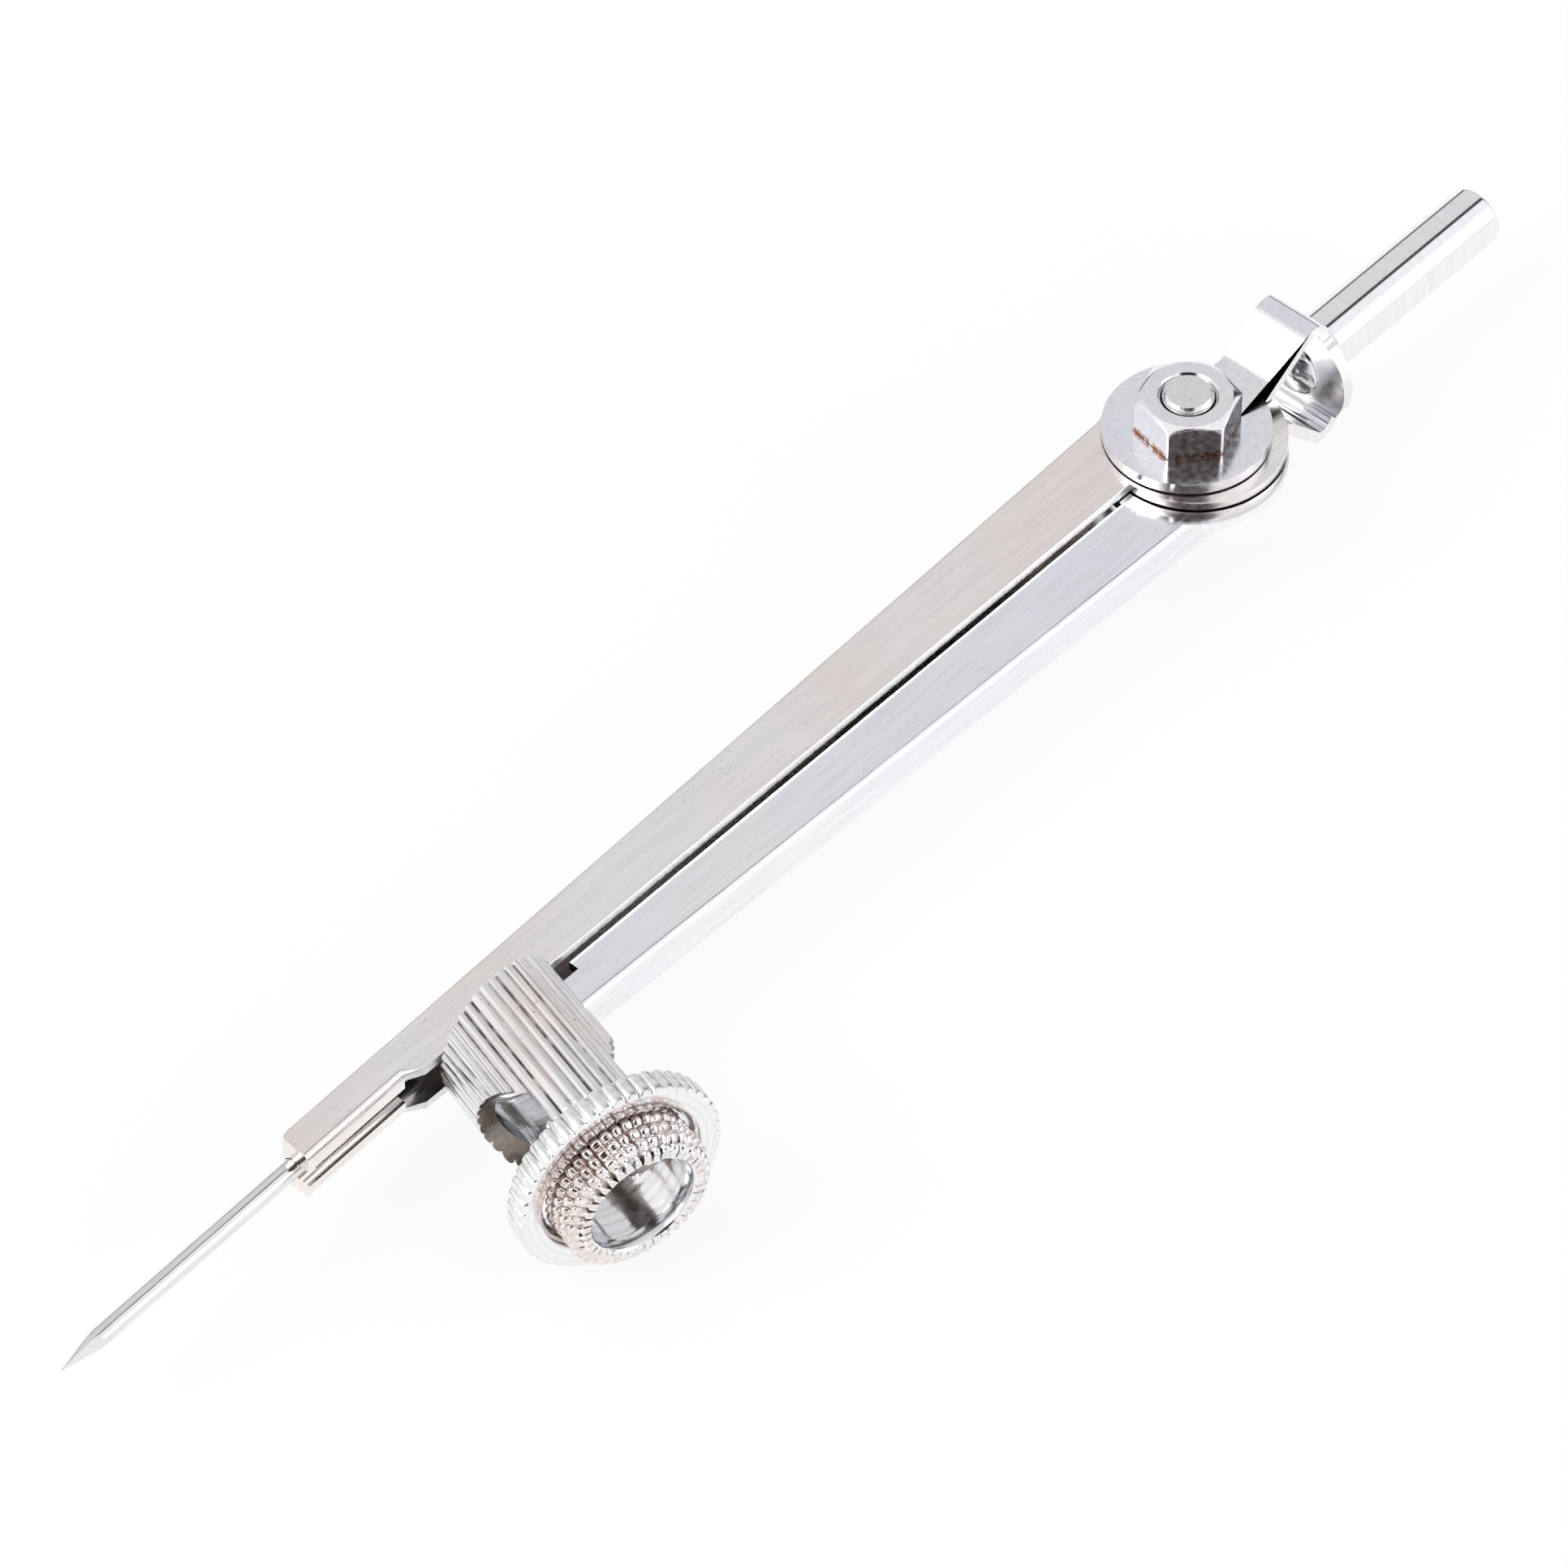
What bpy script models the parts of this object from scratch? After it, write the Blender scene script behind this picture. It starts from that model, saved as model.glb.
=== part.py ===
"""School drawing compass with a steel point and a screw clamp for a pencil.

All-metal compass, drawn closed and lying flat. +X runs along the handle, away from
the legs, +Y is the needle leg's side, and +Z is the pivot bolt's axis with its nut
on top. The origin is the middle of the bolt head's flat underside.
"""

import math

import bmesh
import bpy
from mathutils import Quaternion, Vector

MM = 0.001

# Pivot stack, from the bolt head up
BOLT_RADIUS = 1.95 * MM
BOLT_FLATS = 7.0 * MM
BOLT_HEAD_HEIGHT = 2.8 * MM
BOLT_END_STAND_OUT = 0.3 * MM
BOLT_END_CHAMFER = 0.3 * MM
HEX_CHAMFER = 0.45 * MM
NUT_HEIGHT = 3.0 * MM
NUT_TURN = math.radians(19.5)
NUT_BORE_CLEARANCE = 0.08 * MM
PIVOT_HOLE_CLEARANCE = 0.08 * MM
SEAT_CLEARANCE = 0.05 * MM
RUNNING_CLEARANCE = 0.15 * MM

# Both legs are folded from one gauge of sheet
LEG_SHEET = 0.75 * MM
LEG_FOLD_RADIUS = 0.6 * MM
LEG_EAR_SWEEP_CLEARANCE = 0.2 * MM
LEG_SEAM_GAP = 0.3 * MM

# Needle leg
NEEDLE_LEG_LENGTH = 92.2 * MM
NEEDLE_LEG_HEIGHT = 4.4 * MM
NEEDLE_LEG_INNER_EDGE = -0.22 * MM
NEEDLE_LEG_ROOT_WIDTH = 6.21 * MM
NEEDLE_LEG_END_WIDTH = 3.43 * MM
NEEDLE_LEG_END_CORNER = 0.9 * MM
NEEDLE_EAR_RADIUS = 6.9 * MM
NEEDLE_EAR_CENTRE = Vector((0.3, -0.45)) * MM
CRIMP_LENGTH = 9.8 * MM
CRIMP_STEP_LENGTH = 1.4 * MM
CRIMP_TOP_LIP = 1.55 * MM
CRIMP_BOTTOM_LIP = 1.35 * MM

# Needle
NEEDLE_DIAMETER = 1.45 * MM
NEEDLE_STAND_OUT = 23.1 * MM
NEEDLE_POINT_LENGTH = 3.4 * MM
NEEDLE_POINT_RADIUS = 0.06 * MM
NEEDLE_HELD_LENGTH = 12.6 * MM
NEEDLE_CLEARANCE = 0.05 * MM

# Pencil leg
PENCIL_LEG_HEIGHT = 3.4 * MM
PENCIL_LEG_ROOT_WIDTH = 5.16 * MM
PENCIL_LEG_TAPER_SHARE = 0.0228
PENCIL_EAR_RADIUS = 7.3 * MM
PENCIL_EAR_CENTRE = Vector((-0.6, -0.8)) * MM
PENCIL_LEG_NOTCH_LENGTH = 1.3 * MM
PENCIL_LEG_NOTCH_WIDTH = 0.9 * MM

# Pencil clamp, set back from the needle leg's end
CLAMP_SETBACK = 18.0 * MM
CLAMP_AXIS_DROP = 0.3 * MM
CLAMP_SLANT = math.radians(15.5)
BARREL_LENGTH = 19.2 * MM
BARREL_ROOT_RADIUS = 5.45 * MM
BARREL_MOUTH_RADIUS = 5.8 * MM
BARREL_FLUTES = 40
BARREL_FLUTE_DEPTH = 0.28 * MM
BARREL_BORE_RADIUS = 4.05 * MM
BARREL_FLOOR = 3.0 * MM
BARREL_MOUTH_CHAMFER = 0.6 * MM
PENCIL_HOLE_RADIUS = 4.6 * MM
PENCIL_HOLE_PLACE = 11.0 * MM
RING_NUT_PLACE = 14.3 * MM
RING_NUT_THICKNESS = 2.0 * MM
RING_NUT_WALL = 2.18 * MM
RING_NUT_TEETH = 46
RING_NUT_TOOTH_DEPTH = 0.32 * MM
RING_NUT_CHAMFER = 0.25 * MM
RING_NUT_CLEARANCE = 0.12 * MM
RING_NUT_SINK_WIDTH = 0.43 * MM
RING_NUT_SINK_DEPTH = 0.7 * MM
PRESSURE_WASHER_WALL = 0.98 * MM
PRESSURE_WASHER_THICKNESS = 0.5 * MM

# Yoke and handle
YOKE_SHEET = 0.9 * MM
YOKE_UPPER_EYE_RADIUS = 6.25 * MM
YOKE_LOWER_EYE_RADIUS = 6.25 * MM
YOKE_UPPER_WIDTH = 4.8 * MM
YOKE_LOWER_WIDTH = 7.6 * MM
YOKE_NECK_REACH = 7.1 * MM
YOKE_WEB_PLACE = 13.2 * MM
YOKE_WEB_RADIUS = 4.9 * MM
YOKE_WEB_SWELL = 0.03 * MM
YOKE_WEB_UPPER_CUT = 4.2 * MM
YOKE_WEB_LOWER_CUT = 2.6 * MM
YOKE_ARM_OVERLAP = 1.5 * MM
YOKE_BEND_RADIUS = 1.4 * MM
YOKE_CREST_BEND_RADIUS = 1.0 * MM
YOKE_NECK_BEND_RADIUS = 1.5 * MM
YOKE_CREST_PLACE = 10.9 * MM
YOKE_CREST_HEIGHT = 6.1 * MM
YOKE_FOOT_DEPTH = 4.4 * MM
HANDLE_DROP = 1.4 * MM
HANDLE_DIAMETER = 4.8 * MM
HANDLE_END_PLACE = 33.7 * MM
HANDLE_END_CHAMFER = 0.4 * MM
HANDLE_TENON_RADIUS = 1.6 * MM
HANDLE_TENON_CLEARANCE = 0.1 * MM
HANDLE_TAIL_RADIUS = 2.3 * MM
HANDLE_TAIL_HEIGHT = 0.7 * MM

# Model resolution and cutting
OVERRUN = 1.0 * MM
MERGE_DISTANCE = 0.001 * MM
ROUND_STEPS = 48
SMALL_ROUND_STEPS = 32
ARC_STEPS = 6
FOLD_STEPS = 3

# Heights of the pivot stack
LOWER_EYE_Z = BOLT_HEAD_HEIGHT + SEAT_CLEARANCE
PENCIL_EAR_Z = LOWER_EYE_Z + YOKE_SHEET + RUNNING_CLEARANCE
PENCIL_LEG_TOP = PENCIL_EAR_Z + LEG_SHEET
NEEDLE_EAR_Z = PENCIL_LEG_TOP + RUNNING_CLEARANCE
NEEDLE_LEG_TOP = NEEDLE_EAR_Z + LEG_SHEET
UPPER_EYE_Z = NEEDLE_LEG_TOP + RUNNING_CLEARANCE
NUT_Z = UPPER_EYE_Z + YOKE_SHEET + SEAT_CLEARANCE
BOLT_TOP = NUT_Z + NUT_HEIGHT + BOLT_END_STAND_OUT
PIVOT_HOLE_RADIUS = BOLT_RADIUS + PIVOT_HOLE_CLEARANCE
PENCIL_EAR_SWEEP = PENCIL_EAR_CENTRE.length + PENCIL_EAR_RADIUS + LEG_EAR_SWEEP_CLEARANCE
LOWER_EYE_SWEEP = YOKE_LOWER_EYE_RADIUS + LEG_EAR_SWEEP_CLEARANCE

# Outer edge of the needle leg: a straight line that leans in towards the point
NEEDLE_OUTER_ROOT = NEEDLE_LEG_INNER_EDGE + NEEDLE_LEG_ROOT_WIDTH
NEEDLE_OUTER_END = NEEDLE_LEG_INNER_EDGE + NEEDLE_LEG_END_WIDTH
NEEDLE_LEAN = math.atan2(NEEDLE_OUTER_ROOT - NEEDLE_OUTER_END, NEEDLE_LEG_LENGTH)
NEEDLE_Z = NEEDLE_LEG_TOP - NEEDLE_LEG_HEIGHT / 2
CRIMP_HOLLOW = NEEDLE_DIAMETER + 2 * NEEDLE_CLEARANCE
CRIMP_WIDTH = CRIMP_HOLLOW + 2 * LEG_SHEET

# Inner edge of the pencil leg, and where its outer edge starts at the pivot
PENCIL_INNER_EDGE = NEEDLE_LEG_INNER_EDGE - LEG_SEAM_GAP
PENCIL_OUTER_ROOT = PENCIL_INNER_EDGE - PENCIL_LEG_ROOT_WIDTH

# Clamp frame: the axis starts at the barrel's slanted end, beside the needle leg
CLAMP_PLACE = NEEDLE_LEG_LENGTH - CLAMP_SETBACK
CLAMP_Z = PENCIL_LEG_TOP - CLAMP_AXIS_DROP
CLAMP_START = Vector((-CLAMP_PLACE, PENCIL_INNER_EDGE, CLAMP_Z))
CLAMP_AXIS = Vector((-math.sin(CLAMP_SLANT), -math.cos(CLAMP_SLANT), 0))
PENCIL_AXIS = Vector((-math.cos(CLAMP_SLANT), math.sin(CLAMP_SLANT), 0))

# The ring nut and its washer are built out from the bore that clears the barrel
RING_NUT_BORE_RADIUS = BARREL_MOUTH_RADIUS + RING_NUT_CLEARANCE
RING_NUT_RADIUS = RING_NUT_BORE_RADIUS + RING_NUT_WALL
RING_NUT_SINK_RADIUS = RING_NUT_BORE_RADIUS + RING_NUT_SINK_WIDTH
PRESSURE_WASHER_RADIUS = RING_NUT_BORE_RADIUS + PRESSURE_WASHER_WALL

# Handle and web of the yoke
HANDLE_Z = PENCIL_LEG_TOP - HANDLE_DROP
HANDLE_RADIUS = HANDLE_DIAMETER / 2
YOKE_WEB_INNER = YOKE_WEB_PLACE - YOKE_SHEET


def clear_scene():
    """Remove every object and the collections of an earlier run."""
    for item in list(bpy.data.objects):
        bpy.data.objects.remove(item, do_unlink=True)
    for group in list(bpy.data.collections):
        bpy.data.collections.remove(group)


def new_collection(name):
    """Make a collection in the scene."""
    group = bpy.data.collections.new(name)
    bpy.context.scene.collection.children.link(group)
    return group


def metal(name, color, roughness):
    """Make a metal material for one sub-part."""
    material = bpy.data.materials.new(name)
    material.use_nodes = True
    shader = material.node_tree.nodes["Principled BSDF"]
    shader.inputs["Base Color"].default_value = (*color, 1.0)
    shader.inputs["Metallic"].default_value = 1.0
    shader.inputs["Roughness"].default_value = roughness
    return material


def along(direction):
    """Rotation that turns +Z to a direction, keeping the local X axis level."""
    z_axis = Vector(direction).normalized()
    x_axis = Vector((0, 0, 1)).cross(z_axis)
    if x_axis.length < 1e-6:
        return Quaternion() if z_axis.z > 0 else Quaternion((0, 1, 0, 0))
    return z_axis.to_track_quat("Z", "Y")


def add_object(name, mesh, collection, material=None):
    """Link a mesh as a named object."""
    item = bpy.data.objects.new(name, mesh)
    collection.objects.link(item)
    if material is not None:
        mesh.materials.append(material)
    return item


def place(item, location=(0, 0, 0), direction=(0, 0, 1)):
    """Put an object's origin at a location with its Z axis along a direction."""
    item.location = location
    item.rotation_mode = "QUATERNION"
    item.rotation_quaternion = along(direction)
    return item


def turned(name, profile, collection, material=None, closed=False, steps=ROUND_STEPS):
    """Turn a profile of (radius, height) points, outer side from top to bottom."""
    mesh = bpy.data.meshes.new(name)
    points = [(radius, 0, height) for radius, height in profile]
    edges = [(i, i + 1) for i in range(len(points) - 1)]
    if closed:
        edges.append((len(points) - 1, 0))
    mesh.from_pydata(points, edges, [])
    item = add_object(name, mesh, collection, material)
    screw = item.modifiers.new("turn", "SCREW")
    screw.steps = steps
    screw.render_steps = steps
    screw.use_merge_vertices = True
    screw.merge_threshold = MERGE_DISTANCE
    screw.use_smooth_shade = True
    weld = item.modifiers.new("close", "WELD")
    weld.merge_threshold = MERGE_DISTANCE
    return item


def loft(name, rings, collection, material=None):
    """Solid through a row of rings with as many points each, closed at both ends."""
    form = bmesh.new()
    rows = [[form.verts.new(point) for point in ring] for ring in rings]
    for low, high in zip(rows, rows[1:]):
        for i in range(len(low)):
            form.faces.new((low[i - 1], low[i], high[i], high[i - 1]))
    form.faces.new(rows[0])
    form.faces.new(rows[-1])
    bmesh.ops.recalc_face_normals(form, faces=form.faces)
    mesh = bpy.data.meshes.new(name)
    form.to_mesh(mesh)
    form.free()
    return add_object(name, mesh, collection, material)


def plate(name, outline, thickness, collection, material=None):
    """Flat plate with an outline in XY, standing on its own Z = 0."""
    curve = bpy.data.curves.new(name, "CURVE")
    curve.dimensions = "2D"
    curve.fill_mode = "BOTH"
    curve.extrude = thickness / 2
    spline = curve.splines.new("POLY")
    spline.points.add(len(outline) - 1)
    for point, (x, y) in zip(spline.points, outline):
        point.co = (x, y, 0, 1)
    spline.use_cyclic_u = True
    guide = bpy.data.objects.new(name + "_outline", curve)
    collection.objects.link(guide)
    depsgraph = bpy.context.evaluated_depsgraph_get()
    mesh = bpy.data.meshes.new_from_object(guide.evaluated_get(depsgraph))
    bpy.data.objects.remove(guide, do_unlink=True)
    bpy.data.curves.remove(curve)
    form = bmesh.new()
    form.from_mesh(mesh)
    bmesh.ops.remove_doubles(form, verts=form.verts, dist=MERGE_DISTANCE)
    bmesh.ops.translate(form, verts=form.verts, vec=(0, 0, thickness / 2))
    bmesh.ops.recalc_face_normals(form, faces=form.faces)
    form.to_mesh(mesh)
    form.free()
    mesh.name = name
    return add_object(name, mesh, collection, material)


def leg_bar(name, stations, height, side, material):
    """Bar along X with two rounded folds; each station is a place, an inner and an outer edge."""
    rings = []
    for x, inner, outer in stations:
        fold = LEG_FOLD_RADIUS
        corner = outer - side * fold
        ring = [(inner, 0)]
        ring += [(corner + side * y, z) for y, z in arc((0, fold), fold, -math.pi / 2, 0, FOLD_STEPS)]
        ring += [(corner + side * y, z) for y, z in arc((0, height - fold), fold, 0, math.pi / 2, FOLD_STEPS)]
        ring.append((inner, height))
        rings.append([(x, y, z) for y, z in ring])
    return loft(name, rings, PARTS, material)


def leg_ear(leg, centre, radius, height):
    """Join a leg with its round ear of flat sheet, which isn't centred on the pivot."""
    outline = arc(centre, radius, 0, 2 * math.pi, ROUND_STEPS)[:-1]
    ear = plate(leg.name + "_ear", outline, LEG_SHEET, CUTTERS)
    ear.location = (0, 0, height)
    combine(leg, ear, "UNION")


def strip(name, centre_line, width, thickness, collection, material=None):
    """Bent strip of sheet: a centre line in XZ, a width along Y and a thickness."""
    mesh = bpy.data.meshes.new(name)
    points = []
    for x, z in centre_line:
        points.append((x, -width / 2, z))
        points.append((x, width / 2, z))
    faces = [(2 * i, 2 * i + 1, 2 * i + 3, 2 * i + 2) for i in range(len(centre_line) - 1)]
    mesh.from_pydata(points, [], faces)
    item = add_object(name, mesh, collection, material)
    shell = item.modifiers.new("sheet", "SOLIDIFY")
    shell.thickness = thickness
    shell.offset = 0
    shell.use_even_offset = True
    shell.use_quality_normals = True
    return item


def combine(item, tool, operation):
    """Join or cut an object with another one."""
    step = item.modifiers.new(operation.lower() + "_" + tool.name, "BOOLEAN")
    step.operation = operation
    step.solver = "EXACT"
    step.object = tool
    tool.hide_render = True
    tool.display_type = "WIRE"


def cylinder_cutter(name, radius, start, direction, length, steps=ROUND_STEPS):
    """Round cutter that starts at a point and runs along a direction."""
    profile = [(0, length), (radius, length), (radius, 0), (0, 0)]
    cutter = turned(name, profile, CUTTERS, steps=steps)
    return place(cutter, start, direction)


def block_cutter(name, low, high):
    """Box-shaped cutter between two corners."""
    size = [b - a for a, b in zip(low, high)]
    form = bmesh.new()
    bmesh.ops.create_cube(form, size=1)
    bmesh.ops.scale(form, verts=form.verts, vec=size)
    mesh = bpy.data.meshes.new(name)
    form.to_mesh(mesh)
    form.free()
    cutter = add_object(name, mesh, CUTTERS)
    cutter.location = [(a + b) / 2 for a, b in zip(low, high)]
    return cutter


def arc(centre, radius, start, end, steps=ARC_STEPS):
    """Points on an arc from one angle to another, both included."""
    turn = (end - start) / steps
    return [
        (centre[0] + radius * math.cos(start + turn * i), centre[1] + radius * math.sin(start + turn * i))
        for i in range(steps + 1)
    ]


def smooth(item, angle=math.radians(35)):
    """Shade an object smooth, with its edges kept sharp."""
    item.data.shade_smooth()
    item.data.set_sharp_from_angle(angle=angle)
    return item


def needle_outer(x):
    """Outer edge of the needle leg at a place along it."""
    return NEEDLE_OUTER_ROOT + x * math.tan(NEEDLE_LEAN)


def pencil_outer(x):
    """Outer edge of the pencil leg at a place along it."""
    return PENCIL_OUTER_ROOT - x * PENCIL_LEG_TAPER_SHARE


def build_needle_leg(material):
    """Folded needle leg with its ear, open on the inside and crimped at the end."""
    crimp_start = -NEEDLE_LEG_LENGTH + CRIMP_LENGTH
    step_start = crimp_start + CRIMP_STEP_LENGTH
    end = -NEEDLE_LEG_LENGTH
    bottom = NEEDLE_LEG_TOP - NEEDLE_LEG_HEIGHT
    stations = [
        (0, NEEDLE_LEG_INNER_EDGE, needle_outer(0)),
        (step_start, NEEDLE_LEG_INNER_EDGE, needle_outer(step_start)),
        (crimp_start, needle_outer(crimp_start) - CRIMP_WIDTH, needle_outer(crimp_start)),
    ]
    corner = NEEDLE_LEG_END_CORNER
    for across, back in arc((0, 0), corner, 0, math.pi / 2):
        x = end + corner - back
        stations.append((x, needle_outer(x) - CRIMP_WIDTH, needle_outer(x) - corner + across))
    leg = leg_bar("needle_leg", stations, NEEDLE_LEG_HEIGHT, 1, material)
    leg.location = (0, 0, bottom)
    leg_ear(leg, NEEDLE_EAR_CENTRE, NEEDLE_EAR_RADIUS, NEEDLE_EAR_Z)

    side = NEEDLE_LEG_INNER_EDGE - NEEDLE_EAR_RADIUS
    reach = PENCIL_EAR_SWEEP
    hollow = [
        (reach, needle_outer(reach) - LEG_SHEET),
        (end - OVERRUN, needle_outer(end - OVERRUN) - LEG_SHEET),
        (end - OVERRUN, needle_outer(end - OVERRUN) - LEG_SHEET - CRIMP_HOLLOW),
        (crimp_start, needle_outer(crimp_start) - LEG_SHEET - CRIMP_HOLLOW),
        (crimp_start, side),
        (reach, side),
    ]
    inside = plate("needle_leg_hollow", hollow, NEEDLE_LEG_HEIGHT - 2 * LEG_SHEET, CUTTERS)
    inside.location = (0, 0, bottom + LEG_SHEET)
    combine(leg, inside, "DIFFERENCE")

    low_lip = bottom + CRIMP_BOTTOM_LIP
    high_lip = NEEDLE_LEG_TOP - CRIMP_TOP_LIP
    slit = block_cutter(
        "needle_leg_slit",
        (end - OVERRUN, side, low_lip),
        (crimp_start + OVERRUN, needle_outer(end) - LEG_SHEET - CRIMP_HOLLOW / 2, high_lip),
    )
    combine(leg, slit, "DIFFERENCE")

    step = PENCIL_EAR_Z - LEG_EAR_SWEEP_CLEARANCE - bottom
    top = NEEDLE_EAR_Z - bottom
    sweep = turned(
        "needle_leg_ear_sweep",
        [
            (0, top),
            (PENCIL_EAR_SWEEP, top),
            (PENCIL_EAR_SWEEP, step),
            (LOWER_EYE_SWEEP, step),
            (LOWER_EYE_SWEEP, -OVERRUN),
            (0, -OVERRUN),
        ],
        CUTTERS,
    )
    sweep.location = (0, 0, bottom)
    combine(leg, sweep, "DIFFERENCE")
    combine(leg, PIVOT_HOLE, "DIFFERENCE")
    return smooth(leg)


def build_needle(material):
    """Steel point, pointed at its outer end and held in the crimp."""
    radius = NEEDLE_DIAMETER / 2
    length = NEEDLE_HELD_LENGTH + NEEDLE_STAND_OUT
    profile = [
        (0, length),
        (NEEDLE_POINT_RADIUS, length),
        (radius, length - NEEDLE_POINT_LENGTH),
        (radius, 0),
        (0, 0),
    ]
    needle = turned("needle", profile, PARTS, material, steps=20)
    lean_out = Vector((-math.cos(NEEDLE_LEAN), -math.sin(NEEDLE_LEAN), 0))
    mouth_y = needle_outer(-NEEDLE_LEG_LENGTH) - LEG_SHEET - CRIMP_HOLLOW / 2
    mouth = Vector((-NEEDLE_LEG_LENGTH, mouth_y, NEEDLE_Z))
    return place(needle, mouth - lean_out * NEEDLE_HELD_LENGTH, lean_out)


def build_pencil_leg(material):
    """Folded pencil leg with its ear, cut round the clamp barrel."""
    bottom = PENCIL_LEG_TOP - PENCIL_LEG_HEIGHT
    end = -CLAMP_PLACE
    stations = [(x, PENCIL_INNER_EDGE, pencil_outer(x)) for x in (0, end)]
    leg = leg_bar("pencil_leg", stations, PENCIL_LEG_HEIGHT, -1, material)
    leg.location = (0, 0, bottom)
    leg_ear(leg, PENCIL_EAR_CENTRE, PENCIL_EAR_RADIUS, PENCIL_EAR_Z)

    hollow = [
        (PENCIL_EAR_SWEEP, pencil_outer(PENCIL_EAR_SWEEP) + LEG_SHEET),
        (PENCIL_EAR_SWEEP, PENCIL_EAR_SWEEP),
        (end - OVERRUN, PENCIL_EAR_SWEEP),
        (end - OVERRUN, pencil_outer(end - OVERRUN) + LEG_SHEET),
    ]
    inside = plate("pencil_leg_hollow", hollow, PENCIL_LEG_HEIGHT - 2 * LEG_SHEET, CUTTERS)
    inside.location = (0, 0, bottom + LEG_SHEET)
    combine(leg, inside, "DIFFERENCE")

    sweep = cylinder_cutter(
        "pencil_leg_ear_sweep",
        LOWER_EYE_SWEEP,
        (0, 0, bottom - OVERRUN),
        (0, 0, 1),
        PENCIL_EAR_Z - bottom + OVERRUN,
    )
    combine(leg, sweep, "DIFFERENCE")
    combine(leg, PIVOT_HOLE, "DIFFERENCE")

    barrel_side = cylinder_cutter(
        "pencil_leg_barrel_seat",
        BARREL_MOUTH_RADIUS + SEAT_CLEARANCE,
        CLAMP_START - CLAMP_AXIS * BARREL_LENGTH / 2,
        CLAMP_AXIS,
        BARREL_LENGTH,
    )
    combine(leg, barrel_side, "DIFFERENCE")

    side_x = -CLAMP_PLACE + BARREL_MOUTH_RADIUS / math.cos(CLAMP_SLANT)
    notch = block_cutter(
        "pencil_leg_notch",
        (end, PENCIL_INNER_EDGE - PENCIL_LEG_NOTCH_WIDTH, NEEDLE_Z),
        (side_x + PENCIL_LEG_NOTCH_LENGTH, PENCIL_INNER_EDGE + OVERRUN, PENCIL_LEG_TOP + OVERRUN),
    )
    combine(leg, notch, "DIFFERENCE")
    return smooth(leg)


def ribbed_bar(name, stations, depth, ribs, material):
    """Ribbed round bar; each station is a height and a radius over the ribs."""
    crest_shares = (0.18, 0.62)
    groove_share = 0.9
    rings = []
    for height, radius in stations:
        ring = []
        for rib in range(ribs):
            for share in crest_shares:
                angle = 2 * math.pi * (rib + share) / ribs
                ring.append((radius * math.cos(angle), radius * math.sin(angle), height))
            angle = 2 * math.pi * (rib + groove_share) / ribs
            groove = radius - depth
            ring.append((groove * math.cos(angle), groove * math.sin(angle), height))
        rings.append(ring)
    return loft(name, rings, PARTS, material)


def build_clamp_barrel(material):
    """Fluted barrel with a blind bore and the cross hole that takes the pencil."""
    root_run = BARREL_MOUTH_RADIUS * math.tan(CLAMP_SLANT) + OVERRUN
    length = BARREL_LENGTH + root_run
    chamfer = BARREL_MOUTH_CHAMFER
    stations = [
        (-root_run, BARREL_ROOT_RADIUS),
        (BARREL_LENGTH - chamfer, BARREL_MOUTH_RADIUS),
        (BARREL_LENGTH, BARREL_MOUTH_RADIUS - chamfer),
    ]
    barrel = ribbed_bar("clamp_barrel", stations, BARREL_FLUTE_DEPTH, BARREL_FLUTES, material)
    place(barrel, CLAMP_START, CLAMP_AXIS)

    end_trim = block_cutter(
        "clamp_barrel_end_trim",
        (-CLAMP_PLACE - 2 * BARREL_MOUTH_RADIUS, PENCIL_INNER_EDGE, CLAMP_Z - 2 * BARREL_MOUTH_RADIUS),
        (-CLAMP_PLACE + 2 * BARREL_MOUTH_RADIUS, PENCIL_INNER_EDGE + length, CLAMP_Z + 2 * BARREL_MOUTH_RADIUS),
    )
    combine(barrel, end_trim, "DIFFERENCE")

    bore = cylinder_cutter(
        "clamp_barrel_bore",
        BARREL_BORE_RADIUS,
        CLAMP_START + CLAMP_AXIS * BARREL_FLOOR,
        CLAMP_AXIS,
        BARREL_LENGTH,
        SMALL_ROUND_STEPS,
    )
    combine(barrel, bore, "DIFFERENCE")

    reach = BARREL_MOUTH_RADIUS + OVERRUN
    hole = cylinder_cutter(
        "clamp_barrel_pencil_hole",
        PENCIL_HOLE_RADIUS,
        CLAMP_START + CLAMP_AXIS * PENCIL_HOLE_PLACE - PENCIL_AXIS * reach,
        PENCIL_AXIS,
        2 * reach,
        SMALL_ROUND_STEPS,
    )
    combine(barrel, hole, "DIFFERENCE")
    return smooth(barrel, math.radians(60))


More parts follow.
